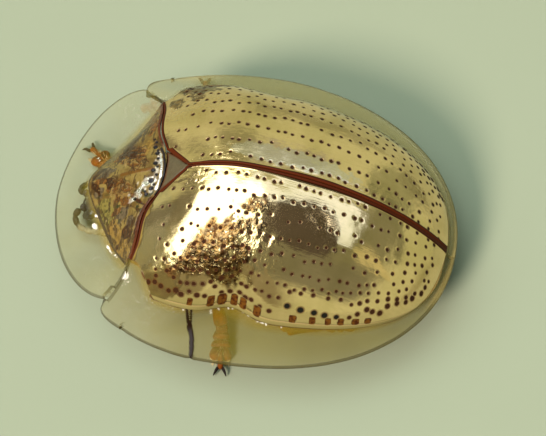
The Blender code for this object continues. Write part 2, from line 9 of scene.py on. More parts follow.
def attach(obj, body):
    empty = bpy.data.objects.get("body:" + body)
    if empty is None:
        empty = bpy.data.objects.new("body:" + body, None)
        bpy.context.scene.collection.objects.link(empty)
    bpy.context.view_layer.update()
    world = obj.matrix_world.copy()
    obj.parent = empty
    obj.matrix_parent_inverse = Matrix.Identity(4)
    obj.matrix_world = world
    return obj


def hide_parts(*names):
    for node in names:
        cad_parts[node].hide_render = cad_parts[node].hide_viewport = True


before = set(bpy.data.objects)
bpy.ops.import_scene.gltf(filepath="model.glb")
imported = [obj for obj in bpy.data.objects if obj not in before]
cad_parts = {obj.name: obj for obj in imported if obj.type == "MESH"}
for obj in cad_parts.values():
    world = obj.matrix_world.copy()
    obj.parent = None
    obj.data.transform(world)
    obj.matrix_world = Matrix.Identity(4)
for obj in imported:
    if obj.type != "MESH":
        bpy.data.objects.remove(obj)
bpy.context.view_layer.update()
bpy.ops.object.select_all(action="DESELECT")

mm = 0.001

# the whole insect, in mm: x to its left, y behind the front rim, z above the shell's rim
body = {
    "length": 6.4,
    "halfWidth": 2.69,
    "stance": 0.72,        # rim of the shell above the floor
    "shift": 0.06,         # the body stands this far to its left
    "widest": 3.0,
    "domeRise": 1.62,
    "discHalfWidth": 2.1,
    "discEnd": 6.3,
    "discFront": 1.5,
    "waist": 3.1,
    "leftWaistDepth": 0.2, "rightWaistDepth": 0.07,
    "seam": 0.004,         # half of the slit between the wing cases
    "joint": 0.01,         # gap between the shield and what lies behind it
    "scutellumTip": 2.0,
    "edgeRise": 0.37,
    "rimSag": 0.11,
}


def smooth(t):
    t = np.clip(t, 0, 1)
    return t * t * (3 - 2 * t)


def hump(t):
    return np.exp(-np.square(t))


# outlines seen from above

def oval(y, half, middle, front, rear, frontPower, rearPower):
    ahead = y < middle
    share = np.abs(y - middle) / np.where(ahead, front, rear)
    power = np.where(ahead, frontPower, rearPower)
    return half * np.maximum(1 - np.minimum(share, 1) ** power, 0) ** (1 / power)


def rimHalfWidth(y):
    widest = body["widest"]
    return oval(y, body["halfWidth"], widest, 2.95, body["length"] - widest, 2.2, 2.12)


def ovalHalfWidth(y):
    shoulder = 2.6
    return oval(y, body["discHalfWidth"], shoulder, 2.2, body["discEnd"] - shoulder, 2.2, 2.6)


def waistDent(y):
    return body["waistDepth"] * hump((y - body["waist"]) / 0.38)


def discHalfWidth(y):
    return ovalHalfWidth(y) - waistDent(y)


def hindMargin(x):
    x = np.abs(x)
    lobe = 0.24 * np.exp(-((x / 0.6) ** 3))
    return 1.42 + lobe - 0.33 * (np.maximum(x - 1.15, 0) / 0.82) ** 2


def shieldFront(x):
    return 0.455 + 0.66 * (np.sqrt(x * x + 0.04) - 0.2)


# levels

def rimLevel(y):
    return -body["rimSag"] * hump((y - 1.9) / 1.1)


def edgeLevel(y):
    share = np.clip((y - 1.2) / (body["discEnd"] - 1.2), 0, 1)
    return body["edgeRise"] - (body["edgeRise"] - 0.03) * share ** 3


def seamLevel(y):
    front = body["domeRise"] * (1 - 0.204 * np.maximum(3.0 - y, 0) ** 1.98)
    share = np.clip((y - 3.0) / (body["length"] - 3.0), 0, 1)
    rear = body["domeRise"] * (1 - share ** 2.3) ** 0.82
    return np.where(y < 3.0, front, rear)


def hindLevel(x):
    share = np.minimum(np.abs(x) / 2.05, 1)
    return 0.12 + 0.8 * (1 - share ** 3.2) ** 1.3 + 0.08 * hump(x / 0.45)


def domeShare(x, y):
    # 0 on the seam, 1 at the foot of the dome; the waist only draws in the lowest part of its side
    width = np.maximum(discHalfWidth(y), 0.02)
    draw = waistDent(y) * smooth((np.abs(x) / width - 0.8) / 0.2)
    return np.minimum((np.abs(x) + draw) / np.maximum(ovalHalfWidth(y), 0.02), 1)


def domeLevel(x, y):
    share = domeShare(x, y)
    edge = np.minimum(edgeLevel(y), seamLevel(y))
    return edge + (seamLevel(y) - edge) * (1 - share ** 2.3) ** 0.6


def shellLevel(x, y):
    base = hindMargin(x)
    step = hindLevel(x) - domeLevel(x, base)
    return domeLevel(x, y) + step * np.exp(-np.maximum(y - base, 0) / 0.3)


def shieldEdgeLevel(x):
    return 0.17 - 0.09 * smooth(np.abs(x)) + 0.28 * smooth((np.abs(x) - 1.0) / 0.6)


def shieldLevel(x, y):
    front, back = shieldFront(x), hindMargin(x)
    share = np.clip((y - front) / np.maximum(back - front, 0.01), 0, 1)
    edge = np.minimum(shieldEdgeLevel(x), hindLevel(x))
    return edge + (hindLevel(x) - edge) * (1 - (1 - share) ** 1.5)


def shieldRimLevel(y):
    share = np.clip(1 - y / 1.1, 0, 1)
    return 0.08 - 0.38 * share ** 1.3


# making and finishing pieces

def toScene(x, y, z):
    x, y, z = np.broadcast_arrays(x, y, z)
    return np.stack([x + body["shift"], y - body["length"] / 2, z + body["stance"]], -1) * mm


def waviness(x, y, size, seed):
    # soft random hills between -1 and 1, size mm apart, from a square of heights that repeats
    count, away = 64, 300
    heights = np.random.default_rng(seed).uniform(-1, 1, (count, count))
    a, b = np.asarray(x) / size + away, np.asarray(y) / size + away
    i, j = np.floor(a).astype(int), np.floor(b).astype(int)
    s, t = smooth(a - i), smooth(b - j)
    i, j, i2, j2 = i % count, j % count, (i + 1) % count, (j + 1) % count
    near = heights[i, j] * (1 - t) + heights[i, j2] * t
    far = heights[i2, j] * (1 - t) + heights[i2, j2] * t
    return near * (1 - s) + far * s


def blob(x, y, centre, size, turn=0, ragged=0.0, seed=1):
    # 1 in the middle, 0 outside, with a soft and ragged edge
    cos, sin = math.cos(math.radians(turn)), math.sin(math.radians(turn))
    a, b = x - centre[0], y - centre[1]
    reach = np.hypot((a * cos + b * sin) / size[0], (b * cos - a * sin) / size[1])
    if ragged:
        reach = reach + ragged * (waviness(x, y, 0.09, seed) + 0.6 * waviness(x, y, 0.045, seed + 1))
    return smooth((1.15 - reach) / 0.3)


def blobs(x, y, marks):
    # the strongest of several blobs, each given as its strength and then what blob asks for
    return np.max([strength * blob(x, y, *mark) for strength, *mark in marks], axis=0)


def nearPath(x, y, path):
    # distance in plan to a line through the points of path, and how far along it, from 0 to 1
    best, where = np.full(len(x), 1e9), np.zeros(len(x))
    for k in range(len(path) - 1):
        (ax, ay), (bx, by) = path[k], path[k + 1]
        run = ((x - ax) * (bx - ax) + (y - ay) * (by - ay)) / ((bx - ax) ** 2 + (by - ay) ** 2)
        run = np.clip(run, 0, 1)
        gap = np.hypot(x - ax - run * (bx - ax), y - ay - run * (by - ay))
        where = np.where(gap < best, (k + run) / (len(path) - 1), where)
        best = np.minimum(gap, best)
    return best, where


def choose(*pieces):
    bpy.ops.object.select_all(action="DESELECT")
    for piece in pieces:
        piece.select_set(True)
    bpy.context.view_layer.objects.active = pieces[0]


def finishPiece(piece, material, name, node):
    piece.data.materials.append(material)
    piece.name = name
    piece.data.name = name
    choose(piece)
    bpy.ops.object.shade_smooth()
    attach(piece, "root")
    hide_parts(node)
    piece.select_set(False)


def setNumbers(piece, name, values):
    layer = piece.data.attributes.get(name) or piece.data.attributes.new(name, "FLOAT", "POINT")
    layer.data.foreach_set("value", np.ascontiguousarray(values, np.float32))


def setMarks(piece, marks):
    for name in ("pale", "claw"):
        setNumbers(piece, name, np.full(len(piece.data.vertices), marks.get(name, 0.0)))


def setPlaces(piece, x, y, z):
    places = toScene(x, y, z)
    piece.data.vertices.foreach_set("co", np.ascontiguousarray(places, np.float32).ravel())


def unitGrid(across, along):
    # a flat grid, and the share of its width and length at each of its points
    bpy.ops.mesh.primitive_grid_add(x_subdivisions=across, y_subdivisions=along, size=1, location=(0, 0, 0))
    grid = bpy.context.object
    flat = np.empty(len(grid.data.vertices) * 3, np.float32)
    grid.data.vertices.foreach_get("co", flat)
    flat = flat.reshape(-1, 3).astype(float)
    return grid, np.clip(flat[:, 0] + 0.5, 0, 1), np.clip(flat[:, 1] + 0.5, 0, 1)


def gridSheet(across, along, shape, wall, mirror=False):
    # a grid bent to shape(u, v) -> x, y, z, numbers, with a wall below it
    sheet, u, v = unitGrid(across, along)
    x, y, z, numbers = shape(u, v)
    setPlaces(sheet, -x if mirror else x, y, z)
    for name, values in numbers.items():
        setNumbers(sheet, name, values)
    if mirror:
        sheet.data.flip_normals()
    choose(sheet)
    solid = sheet.modifiers.new("wall", "SOLIDIFY")
    solid.thickness = wall * mm
    solid.offset = -1
    bpy.ops.object.modifier_apply(modifier="wall")
    return sheet


# materials

class Nodes:
    def __init__(self, name, tree=None):
        if tree is None:
            self.material = bpy.data.materials.new(name)
            self.material.use_nodes = True
            tree = self.material.node_tree
            self.shader = tree.nodes["Principled BSDF"]
        self.tree = tree

    def add(self, kind, **settings):
        node = self.tree.nodes.new(kind)
        for key, value in settings.items():
            setattr(node, key, value)
        return node

    def feed(self, socket, value):
        # value is a number, a colour, the name of the mesh's own numbers, or an output
        if isinstance(value, str):
            value = self.add("ShaderNodeAttribute", attribute_name=value).outputs["Fac"]
        if isinstance(value, tuple):
            socket.default_value = (*value, 1.0)
        elif isinstance(value, (int, float)):
            socket.default_value = value
        elif value is not None:
            self.tree.links.new(value, socket)

    def noise(self, scale, detail=3.0, roughness=0.5, stretch=None):
        node = self.add("ShaderNodeTexNoise")
        place = self.add("ShaderNodeTexCoord").outputs["Object"]
        if stretch:
            mapping = self.add("ShaderNodeMapping")
            mapping.inputs["Scale"].default_value = stretch
            self.feed(mapping.inputs["Vector"], place)
            place = mapping.outputs["Vector"]
        for key, value in (("Scale", scale / mm), ("Detail", detail), ("Roughness", roughness), ("Vector", place)):
            self.feed(node.inputs[key], value)
        return node.outputs["Fac"]

    def ramp(self, source, low, high, lowOut=0.0, highOut=1.0):
        node = self.add("ShaderNodeMapRange", interpolation_type="SMOOTHSTEP")
        for key, value in (("Value", source), ("From Min", low), ("From Max", high), ("To Min", lowOut),
                           ("To Max", highOut)):
            self.feed(node.inputs[key], value)
        return node.outputs["Result"]

    def times(self, a, b, operation="MULTIPLY"):
        node = self.add("ShaderNodeMath", operation=operation)
        for socket, value in zip(node.inputs, (a, b)):
            self.feed(socket, value)
        return node.outputs["Value"]

    def plus(self, first, *others):
        for other in others:
            first = self.times(first, other, "ADD")
        return first

    def most(self, first, *others):
        for other in others:
            first = self.times(first, other, "MAXIMUM")
        return first

    def blend(self, share, a, b):
        node = self.add("ShaderNodeMix", data_type="RGBA")
        for socket, value in zip([s for s in node.inputs if s.enabled], (share, a, b)):
            self.feed(socket, value)
        return [s for s in node.outputs if s.enabled][0]

    def paint(self, base, *coats):
        # coats over a base, each with its share and its colour
        for share, colour in coats:
            base = self.blend(share, base, colour)
        return base

    def bump(self, height, distance, strength):
        node = self.add("ShaderNodeBump")
        for key, value in (("Strength", strength), ("Distance", distance * mm), ("Height", height)):
            self.feed(node.inputs[key], value)
        self.feed(self.shader.inputs["Normal"], node.outputs["Normal"])

    def set(self, **values):
        for key, value in values.items():
            self.feed(self.shader.inputs[key.replace("_", " ")], value)


# gold wing cases

gold = {
    "rows": (0.085, 0.225, 0.385, 0.525, 0.645, 0.745, 0.825, 0.895, 0.95),
    "pitRadius": 0.03,
    "pitDepth": 0.004,
    "bigPits": [(1.89, 3.98, 0.05), (1.885, 4.2, 0.056), (1.86, 4.42, 0.05), (1.84, 4.59, 0.052),
                (1.8, 4.78, 0.044), (1.74, 3.98, 0.036), (1.72, 4.16, 0.034), (1.69, 4.36, 0.036),
                (1.66, 4.6, 0.034), (1.61, 4.8, 0.034)],
    "pitReach": 2.2,
    "pitStep": 0.148,
    "panes": (2.44, 2.77, 2.94, 3.13, 3.28, 3.52, 4.1, 4.41, 4.66, 4.86, 5.09, 5.28),
    "paneHalf": (0.05, 0.056, 0.062, 0.054),
    "ribFront": 0.044, "ribRear": 0.064,   # half widths of the seam's rib
    "ribRise": 0.02,
    "wall": 0.2,
    "rightStains": (
        (0.9, (2.05, 1.95), (0.12, 0.13), 0, 0.5, 31), (0.9, (2.08, 2.2), (0.08, 0.12), 0, 0.5, 32),
        (0.85, (1.55, 1.93), (0.16, 0.1), 0, 0.6, 60), (0.85, (1.93, 2.11), (0.1, 0.13), 0, 0.6, 61),
        (0.85, (1.36, 1.6), (0.12, 0.09), 0, 0.6, 62), (0.85, (1.72, 1.72), (0.13, 0.07), 0, 0.6, 63)),
    "leftHoles": (((0.86, 3.02), (0.09, 0.16)), ((1.18, 3.1), (0.08, 0.16)), ((1.44, 2.95), (0.05, 0.05))),
    "colour": (0.84, 0.6, 0.3),
    "deepColour": (0.66, 0.48, 0.21),
    "speckColour": (0.55, 0.26, 0.06),
    "hazeColour": (0.6, 0.55, 0.4),
    "pitColour": (0.021, 0.008, 0.003),
    "blackPitColour": (0.006, 0.006, 0.004),
    "haloColour": (0.16, 0.045, 0.01),
    "ribColour": (0.048, 0.009, 0.002),
    "ribEdgeColour": (0.014, 0.004, 0.002),
    "amberColour": (0.15, 0.112, 0.026),
    "deepAmberColour": (0.1, 0.066, 0.014),
    "borderColour": (0.15, 0.132, 0.046),
    "paneColour": (0.075, 0.03, 0.004),
    "deepPaneColour": (0.03, 0.008, 0.002),
    "stainColour": (0.27, 0.14, 0.042),
    "deepStainColour": (0.055, 0.02, 0.006),
}


def wingBase(share):
    corner, tip = 0.3, body["scutellumTip"]
    along = np.clip(share / corner, 0, 1)
    out = np.clip((share - corner) / (1 - corner), 0, 1)
    seam, notch = body["seam"], 0.4
    x = seam + (notch - seam) * along + (body["discFront"] - notch) * out
    down = tip + (hindMargin(notch) + body["joint"] - tip) * along
    return x, np.where(share < corner, down, hindMargin(x) + body["joint"])


def discEdge(along):
    # foot of the gold dome, from its shoulder to the rear tip
    first = hindMargin(body["discFront"]) + body["joint"]
    y = first + (body["discEnd"] - first) * np.sin(np.clip(along, 0, 1) ** 1.15 * math.pi / 2)
    entry = smooth((y - first) / 0.5)
    x = body["discFront"] * (1 - entry) + discHalfWidth(y) * entry
    return np.maximum(x, body["seam"]), y


def pitPlaces(seed, mirror):
    # rows of pits along the wing case, with their size; the rows drift inwards near its tip
    dice = np.random.default_rng(seed)
    places = []
    for row, share in enumerate(gold["rows"]):
        y = 1.72 + 0.12 * dice.random()
        while y < 6.15:
            bend = waistDent(np.array(y)) * smooth((share - 0.5) / 0.5)
            width = float(ovalHalfWidth(np.array(y)) - bend)
            drift = share * (1 - 0.1 * max(0, (y - 5.0) / 1.2)) + 0.01 * dice.normal()
            drift += 0.03 * math.sin(y * 5 + row) * max(0, 1 - (y - 1.7) / 0.7)
            x = drift * width
            if y > float(hindMargin(np.array(x))) + 0.12 and (x > 0.4 or y > 2.15):
                size = gold["pitRadius"] * (0.85 + 0.3 * dice.random()) * (1.0, 1.2, 1.45)[max(0, row - 6)]
                if row == 8 and 3.75 < y < 4.9:
                    size *= 1.45
                crowded = not mirror and row > 6 and 3.85 < y < 4.9
                if dice.random() > 0.05 and not crowded:
                    places.append((x, y, size))
            y += gold["pitStep"] * (0.7 + 0.6 * dice.random()) * (1.0 if row < 7 else 0.85)
    if not mirror:
        places += gold["bigPits"]
    return np.array(places)


def rightSkin(x, y, share, fromBase, seed):
    # amber skin, stain, foil and haze on the wing case in shadow
    spot = partial(blob, x, y)
    amber = 0.9 * spot((2.02, 1.98), (0.16, 0.5), 8, 0.15, seed)
    stain = blobs(x, y, gold["rightStains"])
    foil = 0.25 + 0.55 * smooth((share - 0.3) / 0.3) * smooth((2.9 - y) / 0.9)
    haze = spot((0.3, 3.55), (0.17, 1.05), 1.5, 0.25, 71) * smooth(x / 0.1)
    return amber, stain, foil, haze


def leftSkin(x, y, share, fromBase, seed):
    # the same on the wing case that faces the camera, with one large ragged stain
    spot, waves = partial(blob, x, y), partial(waviness, x, y)
    amber = smooth((0.11 - fromBase + 0.03 * waves(0.1, 8)) / 0.05) * smooth((x - 0.5) / 0.2)
    past = 0.704 * (x - 1.7) + 0.71 * (y - 1.9)
    ragged = 0.1 * waves(0.16, 33) + 0.05 * waves(0.06, 35)
    stain = smooth((past + ragged) / 0.08) * smooth((1.8 + ragged - x) / 0.1)
    stain = stain * smooth((3.32 + 1.5 * ragged - y) / 0.14)
    for centre, size in gold["leftHoles"]:
        stain = stain * (1 - spot(centre, size, 20, 0.5, 36))
    foil = spot((1.38, 2.65), (0.42, 1.00), 0, 0.2, 34) * smooth((past + 0.14) / 0.16)
    foil = np.maximum(foil, 0.9 * spot((0.2, 2.16), (0.12, 0.24), 0, 0.4, 37))
    haze = 0.3 * spot((0.95, 1.62), (0.55, 0.28), 0, 0.3, 72)
    return amber, stain, foil, haze


def wingCase(name, node, seed, mirror):
    pits = pitPlaces(seed, mirror)
    pitLevel = shellLevel(pits[:, 0], pits[:, 1])
    tree = kdtree.KDTree(len(pits))
    for i, (x, y, _) in enumerate(pits):
        tree.insert((x, y, pitLevel[i]), i)
    tree.balance()

    def shape(u, v):
        seam, tip = body["seam"], body["scutellumTip"]
        across = 1 - (1 - u) ** 1.5
        seamY = tip + (body["discEnd"] - tip) * v
        edgeX, edgeY = discEdge(v)
        x = seam + across * (edgeX - seam)
        y = seamY + across * (edgeY - seamY)
        baseX, baseY = wingBase(across)
        startX, startY = discEdge(np.zeros(1))
        firstX = seam + across * (startX - seam)
        firstY = tip + across * (startY - tip)
        x = x + (baseX - firstX) * (1 - v) ** 3
        y = y + (baseY - firstY) * (1 - v) ** 3
        z = shellLevel(x, y)
        spot, waves = partial(blob, x, y), partial(waviness, x, y)
        pit, black = np.zeros(len(x)), np.zeros(len(x))
        for i, point in enumerate(zip(x, y, z)):
            _, nearest, distance = tree.find(point)
            pit[i] = max(0.0, 1 - (distance / (gold["pitReach"] * pits[nearest, 2])) ** 2)
            black[i] = not mirror and pits[nearest, 2] > 0.0435 and 3.3 < pits[nearest, 1] < 4.9
        # raised ribs along the seam and the base
        share = x / np.maximum(discHalfWidth(y), 0.05)
        fromBase = y - hindMargin(x)
        ribAcross = x / (gold["ribFront"] + (gold["ribRear"] - gold["ribFront"]) * smooth((y - 2.6) / 1.4))
        seamRib = smooth((1.15 - ribAcross) / 0.3) * (y > 1.9)
        baseAcross = np.where(x < 0.42, (y - (2.02 - 0.9 * x)) / 0.042, fromBase / 0.04)
        baseRib = smooth((1.3 - baseAcross) / 0.4) * (v < 0.2)
        rib = np.maximum(seamRib, baseRib)
        ribEdge = hump((ribAcross - 0.95) / 0.22) * seamRib + hump((baseAcross - 1.0) / 0.25) * baseRib
        # rusty panes along the foot
        pane = np.zeros(len(x))
        for k, place in enumerate(gold["panes"]):
            large = 2.6 < place < 3.7
            half = gold["paneHalf"][k % 4] * (1 if large else 0.85)
            box = np.abs((y - place) / (1.08 * half)) ** 4
            box = box + np.abs((share - 0.978) / (0.017 if large else 0.013)) ** 4
            pane = np.maximum(pane, smooth((1.4 - box) / 0.8))
        pane = pane * (1 - rib)
        # skin where the metal colour ends: along the rim, at the shoulder and in front of it
        border = smooth((share - 0.984) / 0.012)
        amber, stain, foil, haze = (rightSkin if mirror else leftSkin)(x, y, share, fromBase, seed)
        shoulder = 0.5 * spot((1.88, 1.8), (0.28, 0.46), 12, 0.3, seed)
        amber = np.maximum(amber, np.maximum(0.3 * border, shoulder))
        seamStain = 0.5 * spot((0.12, 2.45), (0.1, 0.4), 0, 0.4, seed)
        stain = np.clip(np.maximum(stain, seamStain * (0.4 if mirror else 0.2)), 0, 1)
        wave = sum(rise * waves(size, seed + k)
                   for rise, size, k in ((0.009, 0.6, 0), (0.0042, 0.22, 1), (0.0007, 0.09, 5)))
        wave = wave + foil * 0.0035 * waves(0.07, seed + 2)
        hole = smooth((pit - 0.62) / 0.3)
        ribLevel = (seamRib + 0.15 * baseRib * (1 - seamRib)) * (1 - 0.35 * hump(ribAcross / 0.4) * seamRib)
        z = z + gold["ribRise"] * ribLevel
        z = z + (wave * (1 - border) - gold["pitDepth"] * hole) * (1 - rib) - 0.012 * pane
        return x, y, z, {
            "pit": pit * (1 - rib) * (1 - pane), "rib": rib, "ribEdge": np.clip(ribEdge, 0, 1), "amber": amber,
            "pane": pane, "stain": stain, "foil": foil, "haze": haze, "black": black, "border": border}

    sheet = gridSheet(150, 320, shape, gold["wall"], mirror)
    finishPiece(sheet, goldMaterial, name, node)


def makeGold():
    made = Nodes("goldCuticle")
    streak = made.noise(7.0, 3, 0.5, (5.0, 0.35, 1.0))
    speck = made.ramp(made.noise(26.0, 2), 0.55, 0.72)
    grit = made.ramp(made.noise(18.0, 4), 0.4, 0.62)
    sparkle = made.ramp(made.noise(17.0, 3), 0.59, 0.65, 1.0, 0.15)
    stain = made.times(made.times("stain", made.ramp(grit, 0, 1, 1.0, 0.85)), sparkle)
    amberCloud = made.ramp(made.noise(5.0, 4), 0.35, 0.65)
    stainCloud = made.ramp(made.noise(11.0, 5, 0.6), 0.4, 0.56)
    pit, halo = made.ramp("pit", 0.73, 0.85), made.ramp("pit", 0.5, 0.8, 0, 0.6)
    base = made.paint(
        gold["colour"],
        (made.ramp(made.noise(1.6, 5), 0.35, 0.7), gold["deepColour"]),
        (made.ramp(streak, 0.45, 0.75, 0, 0.35), gold["deepColour"]),
        (made.times("foil", made.times(speck, 0.5)), gold["speckColour"]),
        (made.times("haze", 0.55), gold["hazeColour"]),
        (made.ramp("amber", 0.0, 0.62), made.blend(amberCloud, gold["amberColour"], gold["deepAmberColour"])),
        ("border", gold["borderColour"]),
        (stain, made.blend(stainCloud, gold["stainColour"], gold["deepStainColour"])),
        (made.ramp("pane", 0.0, 0.7), made.blend(grit, gold["paneColour"], gold["deepPaneColour"])),
        (halo, gold["haloColour"]),
        (pit, made.blend("black", gold["pitColour"], gold["blackPitColour"])),
        (made.ramp("rib", 0.0, 0.4), made.blend("ribEdge", gold["ribColour"], gold["ribEdgeColour"])),
    )
    skin = made.most(pit, "rib", "pane", "amber", "border", made.times(stain, 0.32), made.times(halo, 0.35))
    roughness = made.plus(made.ramp(skin, 0, 1, 0.11, 0.34), made.times(pit, 0.2), made.times("haze", 0.1))
    made.set(Base_Color=base, Metallic=made.ramp(skin, 0.3, 1.0, 0.97, 0.0), Roughness=roughness,
             Specular_IOR_Level=0.06)
    height = made.plus(made.times(made.noise(9.0, 4), 0.3), made.times(streak, 0.25),
                       made.times("foil", made.times(made.noise(15.0, 3), 1.6)),
                       made.times(stain, made.times(made.noise(14.0, 3), 2.6)))
    made.bump(made.times(height, made.times(pit, 0.4), "SUBTRACT"), 0.01, 0.5)
    return made.material


goldMaterial = makeGold()
body["waistDepth"] = body["leftWaistDepth"]
wingCase("elytronGoldLeft", "elytron_left", 11, False)
body["waistDepth"] = body["rightWaistDepth"]
wingCase("elytronGoldRight", "elytron_right", 23, True)
print("wing cases done")

# clear border of the wing cases

clear = {
    "wall": 0.05,
    "colour": (0.125, 0.102, 0.004),
    "paleColour": (0.155, 0.132, 0.012),
    "grainColour": (0.13, 0.1, 0.02),
    "rootColour": (0.16, 0.11, 0.02),
    "lineColour": (0.04, 0.034, 0.008),
    "scarColour": (0.008, 0.003, 0.001),
    # the first tone is painted light: a paler tint for the border where it lies in shade
    "tones": (("paintedLight", (0.29, 0.235, 0.075)), ("deep", (0.04, 0.034, 0.0)), ("tan", (0.17, 0.105, 0.03))),
    "sparkColour": (0.55, 0.55, 0.48),
    "seamColour": (0.06, 0.028, 0.01),
    "lobeShare": 0.1,
    "lobe": ((1.95, 1.16), (2.2, 0.92), (2.36, 1.42)),
    "scar": ((2.04, 2.38), (2.16, 2.46), (2.34, 2.56), (2.52, 2.6), (2.7, 2.62)),   # an old split, on the left
    "scarSide": ((2.06, 2.48), (2.2, 2.53), (2.4, 2.6)),
    "glints": (2.36, 2.8, 2.9, 3.06, 3.13, 3.29, 3.4, 3.55, 3.63, 3.7, 3.95),
}


def rimPlan(along):
    lobeShare = clear["lobeShare"]
    t = np.clip(along / lobeShare, 0, 1)
    turn = np.clip((along - lobeShare) / (1 - lobeShare), 0, 1)
    (x0, y0), (x1, y1), (x2, y2) = clear["lobe"]
    lobeX = (1 - t) ** 2 * x0 + 2 * t * (1 - t) * x1 + t * t * x2
    lobeY = (1 - t) ** 2 * y0 + 2 * t * (1 - t) * y1 + t * t * y2
    y = y2 + (body["length"] - y2) * (1 - np.cos(turn ** 0.9 * math.pi)) / 2
    x = np.where(along < lobeShare, lobeX, rimHalfWidth(y))
    return np.maximum(x, body["seam"]), np.where(along < lobeShare, lobeY, y)


def borderShine(x, y):
    # small glints where the left border leaves the dome
    marks = [(1, (1.66, 1.33), (0.075, 0.03), 20, 0.6, 17)]
    for k, place in enumerate(clear["glints"]):
        beside = float(discHalfWidth(np.array(place))) + 0.004 + 0.012 * (k % 3 == 1)
        size = (0.01 + 0.004 * (k % 2), 0.01 + 0.006 * (k % 3))
        marks.append(((0.9, 0.6, 0.75)[k % 3], (beside, place), size, 0, 0.7, 40 + k))
    return blobs(x, y, marks)


def borderScar(x, y):
    gap, run = nearPath(x, y, clear["scar"])
    width = 0.02 + 0.028 * smooth(run * 2.2) * smooth((1.3 - run) / 0.5) + 0.006 * waviness(x, y, 0.05, 4)
    scar = smooth((width - gap) / 0.012)
    gap, run = nearPath(x, y, clear["scarSide"])
    return np.maximum(scar, smooth((0.022 * (1 - run) - gap + 0.008) / 0.012))


def wingBorder(name, node, seed, mirror):
    def shape(u, v):
        innerX, innerY = discEdge(v)
        outerX, outerY = rimPlan(v)
        x = innerX + u * (outerX - innerX)
        y = innerY + u * (outerY - innerY)
        startX, startY = discEdge(np.zeros(1))
        endX, endY = rimPlan(np.zeros(1))
        bow = hindMargin(startX + u * (endX - startX)) + body["joint"]
        bow = bow - (startY + u * (endY - startY))
        y = y + bow * np.maximum(1 - v * 12, 0)
        spot, waves = partial(blob, x, y), partial(waviness, x, y)
        innerLevel = shellLevel(innerX, innerY)
        z = innerLevel + (rimLevel(outerY) - innerLevel) * u - 0.05 * 4 * u * (1 - u)
        rim = smooth((u - 0.982) / 0.012)
        seamHalf = 0.012 + 0.055 * hump((y - 1.7) / 0.2) * (0.6 + 0.4 * waves(0.07, 5))
        seamLine = smooth((seamHalf - u) / 0.008) * (waves(0.16, seed) > -0.1)
        lip = 0.6 * hump((u - 0.93) / 0.012)
        z = z + 0.01 * rim + 0.004 * waves(0.3, seed) + 0.003 * lip
        # how much of the border is seen, and painted light: a paler tint, more cover and a fainter rim line, painted
        # where the border or the floor under it lies in shade, mostly on the far side
        paintedLight = smooth((y - 0.7) / 1.6)
        if not mirror:
            paintedLight = paintedLight * smooth((y - 5.6) / 0.5) * smooth((1.2 - x) / 0.5)
        shade = (0.2 if mirror else 0.19) + 0.13 * smooth((y - 1.5) / 1.0)
        shade = shade + (0.14 + 0.05 * waviness(0.3 * y + u, 4 * u, 0.16, 6)) * paintedLight
        rim = rim * (1 - 0.55 * paintedLight)
        glint = 0.9 * spot((1.72, 1.36), (0.1, 0.1), 0, 0.3, 9)
        glint = glint + 0.4 * spot((2.1, 1.8), (0.2, 0.5))
        if mirror:
            scar = 0.8 * smooth((0.02 - v) / 0.004) * smooth((0.95 - u) / 0.2)
            shine = np.zeros(len(x))
        else:
            # painted light also on the front of the left border, where the floor under it lies in shade
            paintedLight = paintedLight + 0.25 * smooth((2.55 - y) / 0.8)
            scar = borderScar(x, y)
            z = z + 0.018 * scar
            shine = borderShine(x, y)
        return x, y, z, {
            "rim": np.maximum(rim, smooth(1 - v / 0.004)), "toDisc": 1 - u, "line": seamLine, "scar": scar,
            "body": shade, "paintedLight": paintedLight, "shine": shine, "deep": np.full(len(x), 0.0 if mirror else 0.4),
            "glint": glint}

    sheet = gridSheet(64, 300, shape, clear["wall"], mirror)
    finishPiece(sheet, clearMaterial, name, node)


def makeClear():
    made = Nodes("clearCuticle")
    grain = made.noise(14.0, 4)
    spark = made.most(made.times(made.ramp(made.noise(30.0, 1), 0.66, 0.7), "glint"), "shine")
    base = made.paint(
        clear["colour"],
        (made.ramp(made.noise(1.3, 4), 0.35, 0.65), clear["paleColour"]),
        (made.ramp(grain, 0.4, 0.65, 0.0, 0.3), clear["grainColour"]),
        (made.ramp("toDisc", 0.8, 1.0, 0.0, 0.6), clear["rootColour"]),
        # the tones include painted light, a paler tint where the border lies in shade
        *clear["tones"],
        (spark, clear["sparkColour"]), ("rim", clear["lineColour"]), ("line", clear["seamColour"]),
        ("scar", clear["scarColour"]),
    )
    alpha = made.plus(made.ramp("rim", 0, 1, 0.0, 0.42), made.ramp("toDisc", 0.78, 1.0, 0.0, 0.3), "body")
    alpha = made.most(alpha, "line", "scar", made.times(spark, 0.9))
    # its shadow is lighter than its cover, because a clear sheet lets light through
    shadow = made.add("ShaderNodeLightPath").outputs["Is Shadow Ray"]
    alpha = made.times(alpha, made.ramp(shadow, 0, 1, 1.0, 0.2))
    made.set(Base_Color=base, Roughness=0.32, Alpha=alpha, Specular_IOR_Level=0.16)
    made.bump(grain, 0.006, 0.4)
    return made.material


clearMaterial = makeClear()
body["waistDepth"] = body["leftWaistDepth"]
wingBorder("elytronBorderLeft", "elytron_margin_left", 5, False)
body["waistDepth"] = body["rightWaistDepth"]
wingBorder("elytronBorderRight", "elytron_margin_right", 7, True)
print("clear borders done")

# shield over the head

